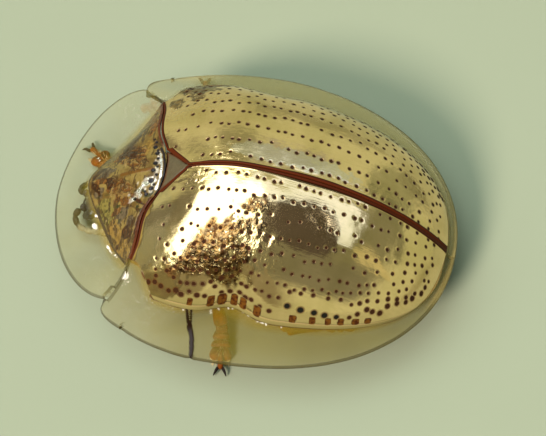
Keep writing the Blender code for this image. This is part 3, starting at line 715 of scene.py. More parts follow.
shield = {
    "halfWidth": 1.97,
    "corner": 1.12,
    "wall": 0.05,
    "discSide": 1.47,
    "pits": ((-0.465, 1.42, 0.034), (-0.4, 1.47, 0.02), (-0.343, 1.47, 0.036), (-0.24, 1.5, 0.026),
             (-0.138, 1.472, 0.038), (-0.07, 1.52, 0.022), (0.0, 1.463, 0.034), (0.08, 1.53, 0.024),
             (0.19, 1.46, 0.042), (0.26, 1.52, 0.024), (0.327, 1.488, 0.036), (0.38, 1.4, 0.022),
             (0.432, 1.428, 0.032), (-0.56, 1.42, 0.022), (-0.62, 1.38, 0.018)),
    "hindLine": ((-0.42, 1.52), (-0.323, 1.569), (-0.084, 1.63), (0.1, 1.645), (0.349, 1.62), (0.45, 1.57)),
    "ground": (0.135, 0.097, 0.024),
    "deepGround": (0.075, 0.046, 0.01),
    "grain": (0.075, 0.032, 0.006),
    "veinColour": (0.03, 0.014, 0.004),
    "paleColour": (0.22, 0.16, 0.065),
    # patches: name, colour, then centre, size, turn and raggedness of each spot
    "patches": (
        ("green", (0.115, 0.095, 0.02), (
            ((0.62, 0.84), (0.17, 0.12), 40, 0.35), ((0.45, 0.76), (0.1, 0.1), 0, 0.35))),
        ("yellow", (0.15, 0.092, 0.018), (
            ((0.82, 0.98), (0.12, 0.09), 35, 0.35), ((1.08, 1.17), (0.22, 0.08), 32, 0.4),
            ((1.32, 1.27), (0.12, 0.07), 20, 0.4), ((-0.5, 1.3), (0.2, 0.08), -20, 0.4))),
        ("lilac", (0.085, 0.062, 0.03), (
            ((0.7, 1.12), (0.1, 0.07), 25, 0.5), ((0.88, 1.24), (0.08, 0.05), 10, 0.5),
            ((-0.12, 0.72), (0.08, 0.15), 25, 0.5), ((0.24, 0.66), (0.07, 0.06), 30, 0.5))),
        ("gravel", (0.125, 0.078, 0.02), (
            ((0.2, 0.92), (0.14, 0.13), 0, 0.35), ((0.31, 1.03), (0.14, 0.14), 0, 0.35),
            ((0.46, 1.14), (0.14, 0.11), 0, 0.35), ((-0.35, 1.05), (0.18, 0.21), 15, 0.35),
            ((-0.15, 1.2), (0.12, 0.12), 0, 0.4))),
        ("brown", (0.038, 0.015, 0.003), (
            ((-0.42, 1.1), (0.1, 0.12), 15, 0.8), ((1.01, 1.226), (0.09, 0.04), 20, 0.8),
            ((1.14, 1.124), (0.07, 0.035), 30, 0.8), ((-0.56, 0.98), (0.2, 0.06), -33, 0.8),
            ((-0.86, 1.1), (0.26, 0.06), -30, 0.8), ((0.1, 0.8), (0.09, 0.05), 20, 0.8),
            ((0.14, 0.6), (0.16, 0.035), 35, 0.8), ((-0.16, 0.6), (0.14, 0.035), -35, 0.8))),
        ("orange", (0.11, 0.05, 0.01), (
            ((0.05, 0.635), (0.045, 0.08), -15, 0.5), ((-1.2, 1.24), (0.2, 0.08), -20, 0.6),
            ((-0.9, 1.3), (0.2, 0.06), -12, 0.6), ((0.62, 1.02), (0.07, 0.07), 0, 0.6))),
    ),
    "lines": (("dots", (0.03, 0.028, 0.006)), ("silver", (0.8, 0.76, 0.62)), ("stripe", (0.03, 0.011, 0.003)),
              ("middle", (0.08, 0.036, 0.005)), ("frontLine", (0.04, 0.028, 0.012)), ("edge", (0.06, 0.016, 0.005)),
              ("dark", (0.01, 0.008, 0.009)), ("glint", (0.85, 0.85, 0.8))),
    "glints": (((0.69, 0.68), (0.055, 0.03)), ((0.54, 0.675), (0.03, 0.02)), ((0.41, 0.655), (0.03, 0.02)),
               ((0.375, 0.635), (0.02, 0.02)), ((1.05, 0.97), (0.04, 0.018)), ((1.13, 1.02), (0.03, 0.014)),
               ((1.22, 1.11), (0.018, 0.012)), ((-0.62, 0.52), (0.015, 0.02))),
}


def shieldDiscShape(u, v):
    x = (u - 0.5) * 2 * shield["discSide"]
    front, back = shieldFront(x), hindMargin(x) - body["joint"]
    y = front + (back - front) * v
    spot, waves = partial(blob, x, y), partial(waviness, x, y)
    toBack, toFront = back - y, y - front
    numbers = {}
    for k, (name, _, marks) in enumerate(shield["patches"]):
        numbers[name] = blobs(x, y, [(1, *mark, 10 * k + 2 * n + 3) for n, mark in enumerate(marks)])

    def band(path, half, soft=0.012, ragged=0.0):
        gap, _ = nearPath(x, y, path)
        return smooth((half + soft - gap + ragged * waves(0.05, 27)) / (2 * soft))

    middle = band(((0.018, 0.98), (0.0, 1.2), (-0.021, 1.43)), 0.032)
    silver = band(((0.46, 1.22), (0.38, 1.3), (0.24, 1.36), (0.17, 1.5)), 0.045, 0.03, 0.06)
    silver = np.maximum(silver, 0.45 * band(((-0.34, 1.48), (-0.1, 1.52), (0.4, 1.48)), 0.02, 0.015, 0.03))
    silver = silver * smooth((waves(0.05, 81) + 0.9) / 0.8)
    stripe = band(((0.5, 1.27), (0.64, 1.44), (0.82, 1.38), (1.1, 1.36)), 0.02, 0.012, 0.01)
    inner = band(((0.6, 1.22), (0.72, 1.36), (0.9, 1.31), (1.2, 1.3)), 0.016, 0.012, 0.012)
    stripe = np.maximum(stripe, 0.7 * inner)
    hindLine = band(shield["hindLine"], 0.02)
    glint = band([(a, b - 0.05) for a, b in shield["hindLine"][1:-1]], 0.012, 0.01, 0.012)
    glint = np.maximum(glint, spot((0.862, 1.462), (0.035, 0.022), -20, 0.3, 41))
    edge = smooth((0.046 - toBack) / 0.015) * smooth((np.abs(x) - 0.42) / 0.12)
    frontLine = smooth((0.045 - toFront + 0.02 * waves(0.1, 33)) / 0.02)
    frontLine = frontLine * smooth((x - 0.35) / 0.15) * smooth((1.15 - x) / 0.2)
    frontLine = np.maximum(frontLine, smooth((0.025 - toFront) / 0.015))
    pit = np.zeros(len(x))
    for px, py, size in shield["pits"]:
        pit = np.maximum(pit, smooth((1.25 - np.hypot(x - px, y - py) / size) / 0.4))
    dark = np.maximum(np.maximum(hindLine, pit), spot((0.853, 1.515), (0.04, 0.02), -20, 0.3, 43))
    dots = smooth((waves(0.06, 51) - 0.35) / 0.15) * smooth((0.3 - np.abs(x - 0.55)) / 0.1)
    grains = waves(0.045, 3) + 0.5 * waves(0.023, 4)
    z = shieldLevel(x, y) + 0.012 * grains * numbers["gravel"]
    z = z + 0.007 * waves(0.12, 6) + 0.006 * middle
    z = z - 0.018 * pit + 0.016 * np.maximum(edge, 0.8 * hindLine) + 0.006 * frontLine
    z = z - 0.012 * stripe - 0.006 * hump((toBack - 0.13) / 0.03)
    numbers.update(grain=grains, middle=middle, silver=silver * (1 - dark), stripe=stripe, edge=edge, dark=dark,
                   dots=dots * (1 - numbers["gravel"]), frontLine=frontLine, glint=glint * (1 - pit))
    return x, y, z, numbers


def makeShieldDisc():
    made = Nodes("shieldCuticle")
    grain = made.ramp("grain", -0.4, 0.4)
    speck = made.times(made.ramp(made.noise(20.0, 3), 0.44, 0.58), 0.7)
    veins = made.ramp(made.noise(9.0, 6, 0.65, (0.5, 1.4, 1.0)), 0.52, 0.6)
    pale = made.ramp(made.noise(13.0, 5, 0.6), 0.6, 0.7)
    patches = []
    for name, colour, _ in shield["patches"]:
        deep = tuple(0.45 * c for c in colour)
        tones = (grain, shield["grain"], colour) if name == "gravel" else (speck, colour, deep)
        patches.append((name, made.blend(*tones)))
    base = made.paint(
        shield["ground"],
        (made.ramp(made.noise(5.0, 5), 0.38, 0.62), shield["deepGround"]),
        *patches,
        (made.times(veins, 0.75), shield["veinColour"]),
        (made.times(pale, 0.55), shield["paleColour"]),
        *shield["lines"],
    )
    shiny = made.most("silver", "glint", made.times("lilac", 0.25))
    made.set(Base_Color=base, Roughness=made.ramp(shiny, 0, 1, 0.24, 0.14), Specular_IOR_Level=0.15,
             Coat_Weight=0.22, Coat_Roughness=0.08, Metallic=made.ramp(shiny, 0, 1, 0.1, 0.95))
    height = made.plus(made.times(made.noise(13.0, 4), 0.8), made.times(grain, "gravel"))
    made.bump(made.times(height, made.times(veins, 0.5), "SUBTRACT"), 0.022, 0.9)
    sheet = gridSheet(336, 142, shieldDiscShape, shield["wall"])
    finishPiece(sheet, made.material, "shieldDisc", "pronotum")


def shieldRim(turn):
    # an oval with full corners, through the front of the insect and both rear corners of the shield
    angle = turn * math.radians(98)
    x = shield["halfWidth"] * np.sign(np.sin(angle)) * np.abs(np.sin(angle)) ** (2 / 1.8)
    share = np.sign(np.cos(angle)) * np.abs(np.cos(angle)) ** (2 / 1.8)
    return x, shield["corner"] - 0.05 - (shield["corner"] - 0.05) * share


def shieldBorderShape(u, v):
    turn = u * 2 - 1
    outerX, outerY = shieldRim(turn)
    turned = np.clip(np.abs(turn) / 0.88, 0, 1)
    innerX = shield["discSide"] * np.sin(turned * math.pi / 2) * np.sign(turn)
    last = hindMargin(innerX) - body["joint"]
    innerY = np.minimum(shieldFront(innerX), last)
    innerY = innerY + (last - innerY) * np.clip((np.abs(turn) - 0.88) / 0.12, 0, 1)
    across = 1 - v
    x = innerX + (outerX - innerX) * across
    y = innerY + (outerY - innerY) * across
    inside = hindMargin(x) - body["joint"] - y
    y = y + np.minimum(inside, 0)
    innerLevel = shieldLevel(innerX, innerY)
    z = innerLevel + (shieldRimLevel(outerY) - innerLevel) * across - 0.04 * 4 * across * (1 - across)
    rim = smooth((across - 0.98) / 0.013) * smooth(1 + inside / 0.02)
    z = z + 0.01 * rim + 0.003 * waviness(x, y, 0.25, 2)
    veil = 0.11 + 0.05 * smooth((x - 0.5) / 0.5) + 0.03 * waviness(x, y, 0.4, 12)
    veil = veil * (1 - 0.85 * hump((x - 0.3) / 0.35) * hump((y - 0.6) / 0.3))
    tan = 0.8 * blob(x, y, (-1.61, 1.2), (0.12, 0.14), 0, 0.5, 98)
    marks = [(1, centre, size, 35, 0.4, 90 + k) for k, (centre, size) in enumerate(shield["glints"])]
    return x, y, z, {
        "rim": np.maximum(rim, smooth((np.abs(turn) - 0.992) / 0.006)), "toDisc": 1 - across,
        "body": veil + 0.3 * tan, "shine": blobs(x, y, marks), "tan": tan,
        "glint": 0.4 * blob(np.abs(x), y, (1.5, 1.0), (0.4, 0.4))}


makeShieldDisc()
finishPiece(gridSheet(300, 56, shieldBorderShape, clear["wall"]), clearMaterial, "shieldBorder",
            "pronotum_margin")
print("shield done")

# scutellum, the small plate between the shield and the wing cases

plate = {
    "half": 0.38,
    "wall": 0.05,
    "colour": (0.034, 0.026, 0.012),
    "paleColour": (0.075, 0.06, 0.03),
    "edgeColour": (0.05, 0.016, 0.005),
}


def plateShape(u, v):
    joint, tip = body["joint"] / 2, body["scutellumTip"]
    base = hindMargin(np.zeros(1)) + joint
    y = base + (tip - base) * v
    x = (u - 0.5) * 2 * plate["half"] * (1 - v * 0.98)
    y = y + (hindMargin(x) + joint - base) * (1 - v)
    z = 0.98 + 0.28 * (y - base) / (tip - base) + 0.03 * (1 - (2 * np.abs(u - 0.5)) ** 2)
    edge = np.maximum(smooth((np.abs(u - 0.5) * 2 - 0.8) / 0.15), smooth(1 - v / 0.1))
    return x, y, z, {"edge": edge}


def makeScutellum():
    made = Nodes("scutellumCuticle")
    base = made.paint(plate["colour"], (made.noise(8.0), plate["paleColour"]), ("edge", plate["edgeColour"]))
    made.set(Base_Color=base, Roughness=0.35, Specular_IOR_Level=0.3)
    made.bump(made.noise(9.0, 4), 0.02, 0.8)
    sheet = gridSheet(40, 40, plateShape, plate["wall"])
    finishPiece(sheet, made.material, "scutellumPlate", "scutellum")


makeScutellum()
print("scutellum done")

# round pieces that follow a path

def unit(vector):
    return vector / np.linalg.norm(vector)


def onPath(path, share):
    # a smooth curve through the points of path, by the share of its length
    path = np.asarray(path, float)
    run = np.r_[0, np.cumsum(np.linalg.norm(np.diff(path, axis=0), axis=1))]
    run = run / run[-1]
    slope = np.gradient(path, run, axis=0)
    k = np.clip(np.searchsorted(run, share, side="right") - 1, 0, len(path) - 2)
    width = (run[k + 1] - run[k])[:, None]
    t = ((share - run[k])[:, None]) / width
    return ((2 * t ** 3 - 3 * t ** 2 + 1) * path[k] + (t ** 3 - 2 * t ** 2 + t) * width * slope[k]
            + (3 * t ** 2 - 2 * t ** 3) * path[k + 1] + (t ** 3 - t ** 2) * width * slope[k + 1])


def limb(path, radii, around=14, along=20, wide=1.0, high=1.0, cap=0.12, marks={}, up=(0, 0, 1), carve=None):
    # a closed round piece along a path, with its own thickness all the way, and rounded ends
    piece, u, v = unitGrid(around, along)
    centre = onPath(path, v)
    run = onPath(path, np.minimum(v + 0.01, 1)) - onPath(path, np.maximum(v - 0.01, 0))
    run /= np.linalg.norm(run, axis=1)[:, None]
    side = np.cross(run, np.asarray(up, float))
    side /= np.maximum(np.linalg.norm(side, axis=1), 1e-9)[:, None]
    lift = np.cross(side, run)
    radius = np.interp(v, np.linspace(0, 1, len(radii)), radii)
    end = np.minimum(np.clip(v / cap, 0, 1), np.clip((1 - v) / cap, 0, 1))
    radius = radius * np.sqrt(np.maximum(1 - (1 - end) ** 2, 0))
    if carve is not None:
        radius = radius * carve(u, v)
    turn = 2 * math.pi * u
    spot = centre + (radius * wide * np.cos(turn))[:, None] * side + (radius * high * np.sin(turn))[:, None] * lift
    setPlaces(piece, *spot.T)
    setMarks(piece, marks)
    closeUp(piece)
    return piece


def closeUp(piece):
    choose(piece)
    bpy.ops.object.mode_set(mode="EDIT")
    bpy.ops.mesh.select_all(action="SELECT")
    bpy.ops.mesh.remove_doubles(threshold=1e-7)
    bpy.ops.mesh.normals_make_consistent(inside=False)
    bpy.ops.object.mode_set(mode="OBJECT")


def oneOf(pieces):
    choose(*pieces)
    bpy.ops.object.join()
    return bpy.context.object


def bristles(roots, headings, length, marks):
    # thin four sided spikes
    corners, faces = [], []
    for root, heading in zip(roots, headings):
        heading = unit(heading)
        side = unit(np.cross(heading, (0.3, 0.5, 0.8)))
        lift = np.cross(side, heading)
        first = len(corners)
        for k in range(4):
            angle = k * math.pi / 2
            corners.append(root + 0.006 * (math.cos(angle) * side + math.sin(angle) * lift))
        corners.append(root + heading * length)
        faces += [(first + (k + 1) % 4, first + k, first + 4) for k in range(4)]
        faces.append((first, first + 1, first + 2, first + 3))
    mesh = bpy.data.meshes.new("bristles")
    mesh.from_pydata(toScene(*np.array(corners).T).tolist(), [], faces)
    piece = bpy.data.objects.new("bristles", mesh)
    bpy.context.scene.collection.objects.link(piece)
    setMarks(piece, marks)
    closeUp(piece)
    return piece


def makeHorn(name, skin, deepSkin, gritColour, cloudNoise, gritNoise, gritEnd, gritShare):
    # dull cuticle in two tones, with fine grit
    made = Nodes(name)
    grit = made.ramp(made.noise(*gritNoise), 0.4, gritEnd)
    cloud = made.ramp(made.noise(*cloudNoise), 0.35, 0.65)
    return made, grit, made.paint(skin, (cloud, deepSkin), (made.times(grit, gritShare), gritColour))


# legs and feelers

legs = {
    "skin": (0.13, 0.036, 0.004),
    "feelerSkin": (0.15, 0.145, 0.08),
    "deepSkin": (0.04, 0.013, 0.002),
    "marks": (("pale", (0.42, 0.34, 0.16)), ("claw", (0.01, 0.007, 0.006))),
    "floor": -0.72,
    "places": {  # coxa, knee, ankle, toe
        "leg_front_left": ((0.34, 1.42, -0.42), (0.98, 1.62, -0.46), (0.74, 1.34, -0.52), (0.47, 1.02, -0.6)),
        "leg_front_right": ((-0.34, 1.42, -0.42), (-1.1, 1.3, -0.46), (-0.74, 0.8, -0.52), (-1.04, 0.44, -0.6)),
        "leg_middle_left": ((0.48, 2.34, -0.3), (1.25, 2.74, -0.24), (1.8, 3.00, -0.46), (2.36, 3.08, -0.6)),
        "leg_middle_right": ((-0.48, 2.34, -0.3), (-1.38, 2.4, -0.24), (-2.00, 2.12, -0.46), (-2.642, 1.96, -0.6)),
        "leg_hind_left": ((0.5, 3.2, -0.3), (1.78, 4.06, -0.26), (1.36, 4.6, -0.48), (1.12, 5.08, -0.6)),
        "leg_hind_right": ((-0.5, 3.2, -0.3), (-1.7, 4.1, -0.26), (-1.52, 4.68, -0.48), (-1.3, 5.16, -0.6)),
    },
    "shinHairs": 20, "footHairs": 24, "soleHairs": 36,
    "feeler": ((0.15, 0.38, -0.42), (0.25, 0.33, -0.49), (0.38, 0.39, -0.53), (0.475, 0.57, -0.5),
               (0.515, 0.76, -0.4), (0.54, 0.94, -0.29), (0.61, 1.1, -0.19), (0.7, 1.25, -0.09),
               (0.8, 1.38, -0.01), (0.86, 1.46, 0.03)),
    "feelerRadii": (0.055, 0.05, 0.052, 0.058, 0.066, 0.078, 0.084, 0.082, 0.06),
    "feelerJoints": 11,
}


def makeLegMaterial(name, skin, deepSkin):
    made, grit, base = makeHorn(name, skin, deepSkin, tuple(1.25 * c for c in skin), (6.0, 4), (24.0, 3), 0.62, 0.55)
    made.set(Base_Color=made.paint(base, *legs["marks"]), Roughness=made.ramp("claw", 0, 1, 0.45, 0.25),
             Specular_IOR_Level=0.12)
    made.bump(made.plus(grit, made.noise(11.0, 3)), 0.01, 0.6)
    return made.material


def makeLeg(node, seed):
    coxa, knee, ankle, toe = (np.array(p) for p in legs["places"][node])
    dice = np.random.default_rng(seed)
    floor = legs["floor"]
    pieces = []

    def add(path, radii, **options):
        pieces.append(limb(path, radii, **options))

    # hip, thigh and shin
    out = unit(knee - coxa)
    hip = [coxa + (0, 0, 0.26), coxa + (0, 0, 0.08), coxa - 0.02 * out - (0, 0, 0.02)]
    add(hip, [0.15, 0.2, 0.16], up=(0, 1, 0.1))
    add([coxa - 0.02 * out, coxa + 0.12 * out], [0.12, 0.14, 0.11], along=10, cap=0.3)
    bow = np.array([0, 0, 0.03])
    add([coxa + 0.05 * out, coxa + (knee - coxa) * 0.35 + bow, coxa + (knee - coxa) * 0.75 + bow, knee],
        [0.1, 0.155, 0.185, 0.175, 0.145, 0.105], around=20, along=30, wide=0.85, high=1.05, cap=0.1)
    shinRun = ankle - knee
    bend = np.array([0, 0, 0.02])
    add([knee - 0.04 * shinRun, knee + 0.35 * shinRun + bend, knee + 0.75 * shinRun + bend, ankle],
        [0.075, 0.085, 0.1, 0.12, 0.135, 0.13], around=18, along=26, wide=0.85, cap=0.08,
        carve=lambda u, v: 1 + 0.06 * np.cos(2 * math.pi * u * 3) * np.clip(v * 2, 0, 1))
    # foot, by its share of the way from heel to toe
    heel = np.array([ankle[0], ankle[1], floor + 0.17])
    end = np.array([toe[0], toe[1], floor + 0.11])
    run = end - heel
    ahead = unit(run)
    side = np.array([-ahead[1], ahead[0], 0]) / math.hypot(ahead[0], ahead[1])

    def foot(share, rise=-0.02, aside=0):
        return heel + share * run + aside * side + np.array([0, 0, rise])

    add([ankle, (ankle + heel) / 2, heel + 0.1 * run], [0.1, 0.1, 0.07], along=12, cap=0.3)
    add([foot(-0.05, 0), foot(0.18), foot(0.34)], [0.07, 0.1, 0.125, 0.1], wide=1.15, high=0.75, cap=0.25)
    add([foot(0.28), foot(0.42), foot(0.58)], [0.07, 0.12, 0.14, 0.1], wide=1.2, high=0.72, cap=0.25)
    for sign in (-1, 1):
        lobe = [foot(0.5, aside=sign * 0.03), foot(0.7, aside=sign * 0.08), foot(0.93, aside=sign * 0.1)]
        add(lobe, [0.05, 0.085, 0.095, 0.07], high=0.75, cap=0.25)
        pad = [p - (0, 0, 0.045) for p in lobe[1:]]
        add(pad, [0.07, 0.08, 0.06], along=10, high=0.35, cap=0.3, marks={"pale": 1.0})
        tip = end + 0.13 * ahead + sign * 0.03 * side
        add([tip - 0.05 * ahead - (0, 0, 0.005), tip + 0.05 * ahead + sign * 0.05 * side,
             tip + 0.09 * ahead + sign * 0.075 * side - (0, 0, 0.05)],
            [0.028, 0.026, 0.018, 0.006], around=8, along=12, cap=0.1, marks={"claw": 1.0})
    add([foot(0.6, 0.03), foot(0.82, 0.045), end + 0.13 * ahead], [0.03, 0.035, 0.045, 0.05], around=10, cap=0.2)
    # short hairs on the shin and the foot, then the brush of the sole
    roots, headings = [], []
    for k in range(legs["shinHairs"] + legs["footHairs"]):
        t, angle = dice.random(), dice.random() * 2 * math.pi
        if k < legs["shinHairs"]:
            spot, size = knee + (0.15 + 0.85 * t) * shinRun, 0.09 + 0.03 * t
            axis = unit(shinRun)
        else:
            spot, size = heel + (0.1 + 0.85 * t) * run, 0.09
            axis = ahead
        across = unit(np.cross(axis, (0, 0, 1.0)))
        over = np.cross(across, axis)
        turned = math.cos(angle) * across + abs(math.sin(angle)) * over
        roots.append(spot + size * 0.75 * turned)
        headings.append(turned * 0.6 + axis)
    pieces.append(bristles(roots, headings, 0.085, {"pale": 0.8}))
    roots, headings = [], []
    for k in range(legs["soleHairs"]):
        sign = 1 if k % 2 else -1
        t = dice.random()
        spot = heel + (0.62 + 0.34 * t) * run + sign * (0.05 + 0.09 * dice.random()) * side
        spot[2] = floor + 0.05
        roots.append(spot)
        headings.append(ahead + 0.5 * sign * side * dice.random() - np.array([0, 0, 0.15]))
    pieces.append(bristles(roots, headings, 0.09, {"pale": 1.0}))
    finishPiece(oneOf(pieces), legMaterial, node.replace("leg_", "") + "Leg", node)


def makeFeeler(side, name, node):
    def carve(u, v):
        return 1 - 0.3 * np.abs(np.cos(v * legs["feelerJoints"] * math.pi)) ** 8

    path = [(side * x, y, z) for x, y, z in legs["feeler"]]
    feeler = limb(path, legs["feelerRadii"], along=132, cap=0.02, carve=carve)
    spots = np.array([vertex.co[1] for vertex in feeler.data.vertices]) / mm + body["length"] / 2
    tip, root = 0.55 * smooth((spots - 1.0) / 0.3), 0.9 * smooth((0.42 - spots) / 0.03)
    setNumbers(feeler, "claw", np.maximum(tip, root))
    finishPiece(feeler, feelerMaterial, name, node)


legMaterial = makeLegMaterial("legCuticle", legs["skin"], legs["deepSkin"])
feelerMaterial = makeLegMaterial("feelerCuticle", legs["feelerSkin"], tuple(0.8 * c for c in legs["feelerSkin"]))
for seed, node in enumerate(legs["places"]):
    makeLeg(node, 40 + seed)
makeFeeler(1, "feelerLeft", "antenna_left")
makeFeeler(-1, "feelerRight", "antenna_right")
print("legs and feelers done")

# head

face = {
    "centre": (0.0, 0.75, -0.2),
    "size": (0.38, 0.31, 0.2),
    "slope": 0.6,
    "skin": (0.022, 0.02, 0.022),
    "deepSkin": (0.009, 0.009, 0.011),
    "gritColour": (0.06, 0.045, 0.03),
    "eyePlace": (0.27, 0.56, -0.22),
    "eyeSize": (0.105, 0.115, 0.11),
    "eyeColour": (0.012, 0.009, 0.008),
    "eyeSeamColour": (0.004, 0.003, 0.003),
    "eyeCells": 55,
}


def ballPiece(centre, size, segments, rings, grow):
    # a ball that grow(x, y, z) swells or draws in, on the slope of the face
    bpy.ops.mesh.primitive_uv_sphere_add(segments=segments, ring_count=rings, radius=1, location=(0, 0, 0))
    ball = bpy.context.object
    for vertex in ball.data.vertices:
        spot = tuple(vertex.co)
        x, y, z = (c + s * grow(*spot) * k for c, s, k in zip(centre, size, spot))
        vertex.co = Vector(toScene(x, y, z + face["slope"] * (y - face["centre"][1])))
    setMarks(ball, {})
    return ball


def skull(x, y, z):
    groove = 0.05 * math.exp(-(x / 0.06) ** 2) * max(0, -y) * (z > -0.2)
    brow = 0.05 * math.exp(-((abs(x) - 0.3) / 0.14) ** 2) * max(0, -y)
    socket = 0.1 * math.exp(-((abs(x) - 0.8) / 0.16) ** 2 - ((y + 0.55) / 0.3) ** 2)
    return 1 - groove + brow - socket


def bean(x, y, z):
    return 1 - 0.1 * math.exp(-((y + 0.2) / 0.3) ** 2 - ((z + 0.3) / 0.3) ** 2)


def beads(u, v):
    return 1 - 0.35 * np.abs(np.cos(v * 3 * math.pi)) ** 6


def makeHead():
    pieces = [
        ballPiece(face["centre"], face["size"], 72, 40, skull),
        limb([(0, 0.57, -0.36), (0, 0.52, -0.42), (0, 0.47, -0.465)], [0.12, 0.15, 0.13], wide=1.25, high=0.55, cap=0.3,
             up=(0, -0.6, 0.8)),
        limb([(0, 0.49, -0.45), (0, 0.45, -0.5), (0, 0.45, -0.53)], [0.1, 0.12, 0.09], wide=1.2, high=0.45, cap=0.3,
             up=(0, -0.8, 0.6)),
    ]
    # jaws, outer and inner palps, and the knobs of the feelers: path, radii, points, cap
    paired = (
        (((0.14, 0.61, -0.43), (0.14, 0.53, -0.5), (0.09, 0.48, -0.55), (0.02, 0.47, -0.57)),
         (0.07, 0.075, 0.055, 0.02), {"around": 14, "along": 22, "cap": 0.12, "marks": {"claw": 0.85}}),
        (((0.12, 0.63, -0.48), (0.2, 0.56, -0.53), (0.19, 0.49, -0.575), (0.14, 0.44, -0.59)),
         (0.035, 0.04, 0.042, 0.03),
         {"around": 10, "along": 30, "cap": 0.08, "carve": beads, "marks": {"pale": 0.3}}),
        (((0.06, 0.63, -0.5), (0.09, 0.55, -0.555), (0.06, 0.49, -0.59)),
         (0.028, 0.032, 0.022), {"around": 8, "along": 20, "cap": 0.1, "carve": beads, "marks": {"pale": 0.3}}),
        (((0.13, 0.48, -0.37), (0.14, 0.38, -0.405)),
         (0.055, 0.065, 0.05), {"around": 12, "along": 10, "cap": 0.3}),
    )
    for side in (-1, 1):
        for path, radii, options in paired:
            pieces.append(limb([(side * x, y, z) for x, y, z in path], radii, **options))
    made, grit, base = makeHorn("headCuticle", face["skin"], face["deepSkin"], face["gritColour"], (7.0, 4), (28.0, 3),
                                0.65, 0.2)
    made.set(Base_Color=made.paint(base, *legs["marks"]), Roughness=0.24, Specular_IOR_Level=0.25, Coat_Weight=0.12,
             Coat_Roughness=0.08)
    made.bump(grit, 0.01, 0.5)
    finishPiece(oneOf(pieces), made.material, "headPiece", "head")


def makeEyes():
    made = Nodes("eyeFacets")
    cells = made.add("ShaderNodeTexVoronoi", feature="DISTANCE_TO_EDGE")
    made.feed(cells.inputs["Scale"], face["eyeCells"] / mm)
    made.feed(cells.inputs["Vector"], made.add("ShaderNodeTexCoord").outputs["Object"])
    seams = made.ramp(cells.outputs["Distance"], 0.0, 0.25)
    made.set(Base_Color=made.blend(seams, face["eyeSeamColour"], face["eyeColour"]), Roughness=0.1,
             Coat_Weight=0.6, Coat_Roughness=0.04)
    made.bump(seams, 0.004, 0.5)
    x, y, z = face["eyePlace"]
    for side, node, name in ((1, "eye_left", "eyeLeft"), (-1, "eye_right", "eyeRight")):
        eye = ballPiece((side * x, y, z), face["eyeSize"], 40, 28, bean)
        finishPiece(eye, made.material, name, node)


makeHead()
makeEyes()
print("head done")

# trunk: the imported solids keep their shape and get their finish

made, grit, base = makeHorn("trunkCuticle", (0.04, 0.022, 0.01), (0.014, 0.009, 0.006), (0.085, 0.046, 0.018),
                            (3.0, 5), (16.0, 4), 0.62, 0.5)
made.set(Base_Color=base, Roughness=0.38, Specular_IOR_Level=0.5, Coat_Weight=0.2, Coat_Roughness=0.15)
made.bump(grit, 0.015, 0.7)
for node in ("prothorax", "thorax", "abdomen"):
    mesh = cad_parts[node].data
    mesh.materials.clear()
    mesh.materials.append(made.material)
print("trunk done")

# floor, light and camera

studio = {
    "floorSize": 0.6,
    "floorColour": (0.193, 0.226, 0.153),
    "keyAzimuth": 63, "keyHeight": 36.5, "keyDistance": 0.5, "keySpread": 7,
    "keyRadiance": 163, "keyColour": (1.0, 0.82, 0.76),
    "walls": (0.6, 0.68, 0.44),
    "patches": (  # centre, half sizes, turn, corner power, softness, light given
        ((-1.15, 0.1), (0.3, 1.2), 0, 4, 0.2, (0.34, 0.38, 0.24)),
        ((0.1, 1.2), (1.2, 0.28), 0, 4, 0.2, (0.36, 0.38, 0.22)),
        ((0.0, -1.05), (0.9, 0.28), 0, 4, 0.15, (0.22, 0.23, 0.15)),
        ((-0.6, 0.57), (0.17, 0.12), 0, 4, 0.15, (0.36, 0.42, 0.27)),
        ((-0.9, 0.86), (0.28, 0.3), 0, 3, 0.25, (0.2, 0.22, 0.13)),
        ((0.8, -0.22), (0.38, 0.4), 0, 3, 0.2, (0.25, 0.25, 0.15)),
        ((-0.84, -0.34), (0.28, 0.26), 0, 3, 0.3, (0.54, 0.6, 0.38)),
        ((-0.49, -0.22), (0.11, 0.22), 0, 3, 0.3, (0.3, 0.34, 0.21)),
        ((-0.46, 0.08), (0.06, 0.16), 0, 4, 0.3, (0.42, 0.46, 0.42)),
        ((0.28, 0.33), (0.36, 0.33), 0, 3, 0.22, (0.165, 0.19, 0.13)),
        ((-0.25, 0.59), (0.24, 0.1), 0, 4, 0.15, (0.2, 0.24, 0.15)),
        ((-0.1, 0.48), (0.28, 0.22), 0, 5, 0.1, (0.2, 0.23, 0.14)),
        ((0.02, 0.62), (0.07, 0.15), -20, 2, 0.12, (0.6, 0.62, 0.35)),
        ((-0.17, 0.21), (0.18, 0.25), 0, 6, 0.05, (1.25, 1.55, 2.05)),
        ((-0.01, 0.2), (0.235, 0.17), 0, 3, 0.05, (0.026, 0.021, 0.011)),
        ((0.08, -0.62), (0.5, 0.14), 0, 3, 0.3, (0.22, 0.25, 0.16)),
        ((-0.02, -0.3), (0.31, 0.31), -12, 5, 0.05, (4.0, 4.4, 4.5)),
        ((0.19, -0.5), (0.14, 0.13), 0, 4, 0.08, (4.0, 4.4, 4.5)),
        ((-0.23, -0.66), (0.16, 0.12), 0, 2, 0.3, (0.13, 0.14, 0.09)),
        ((-0.13, 0.31), (0.032, 0.013), 50, 2, 0.2, (3.0, 3.3, 3.8)),
    ),
    "cameraRight": (-0.1712, 0.9824, 0.0753),
    "cameraBack": (0.514, 0.024, 0.8575),
    "cameraMiddle": (-0.053, 0.261, 0.691),   # mm
    "cameraDistance": 0.2,
    "photoWidth": 546, "pixelsPerMm": 62.34,
}


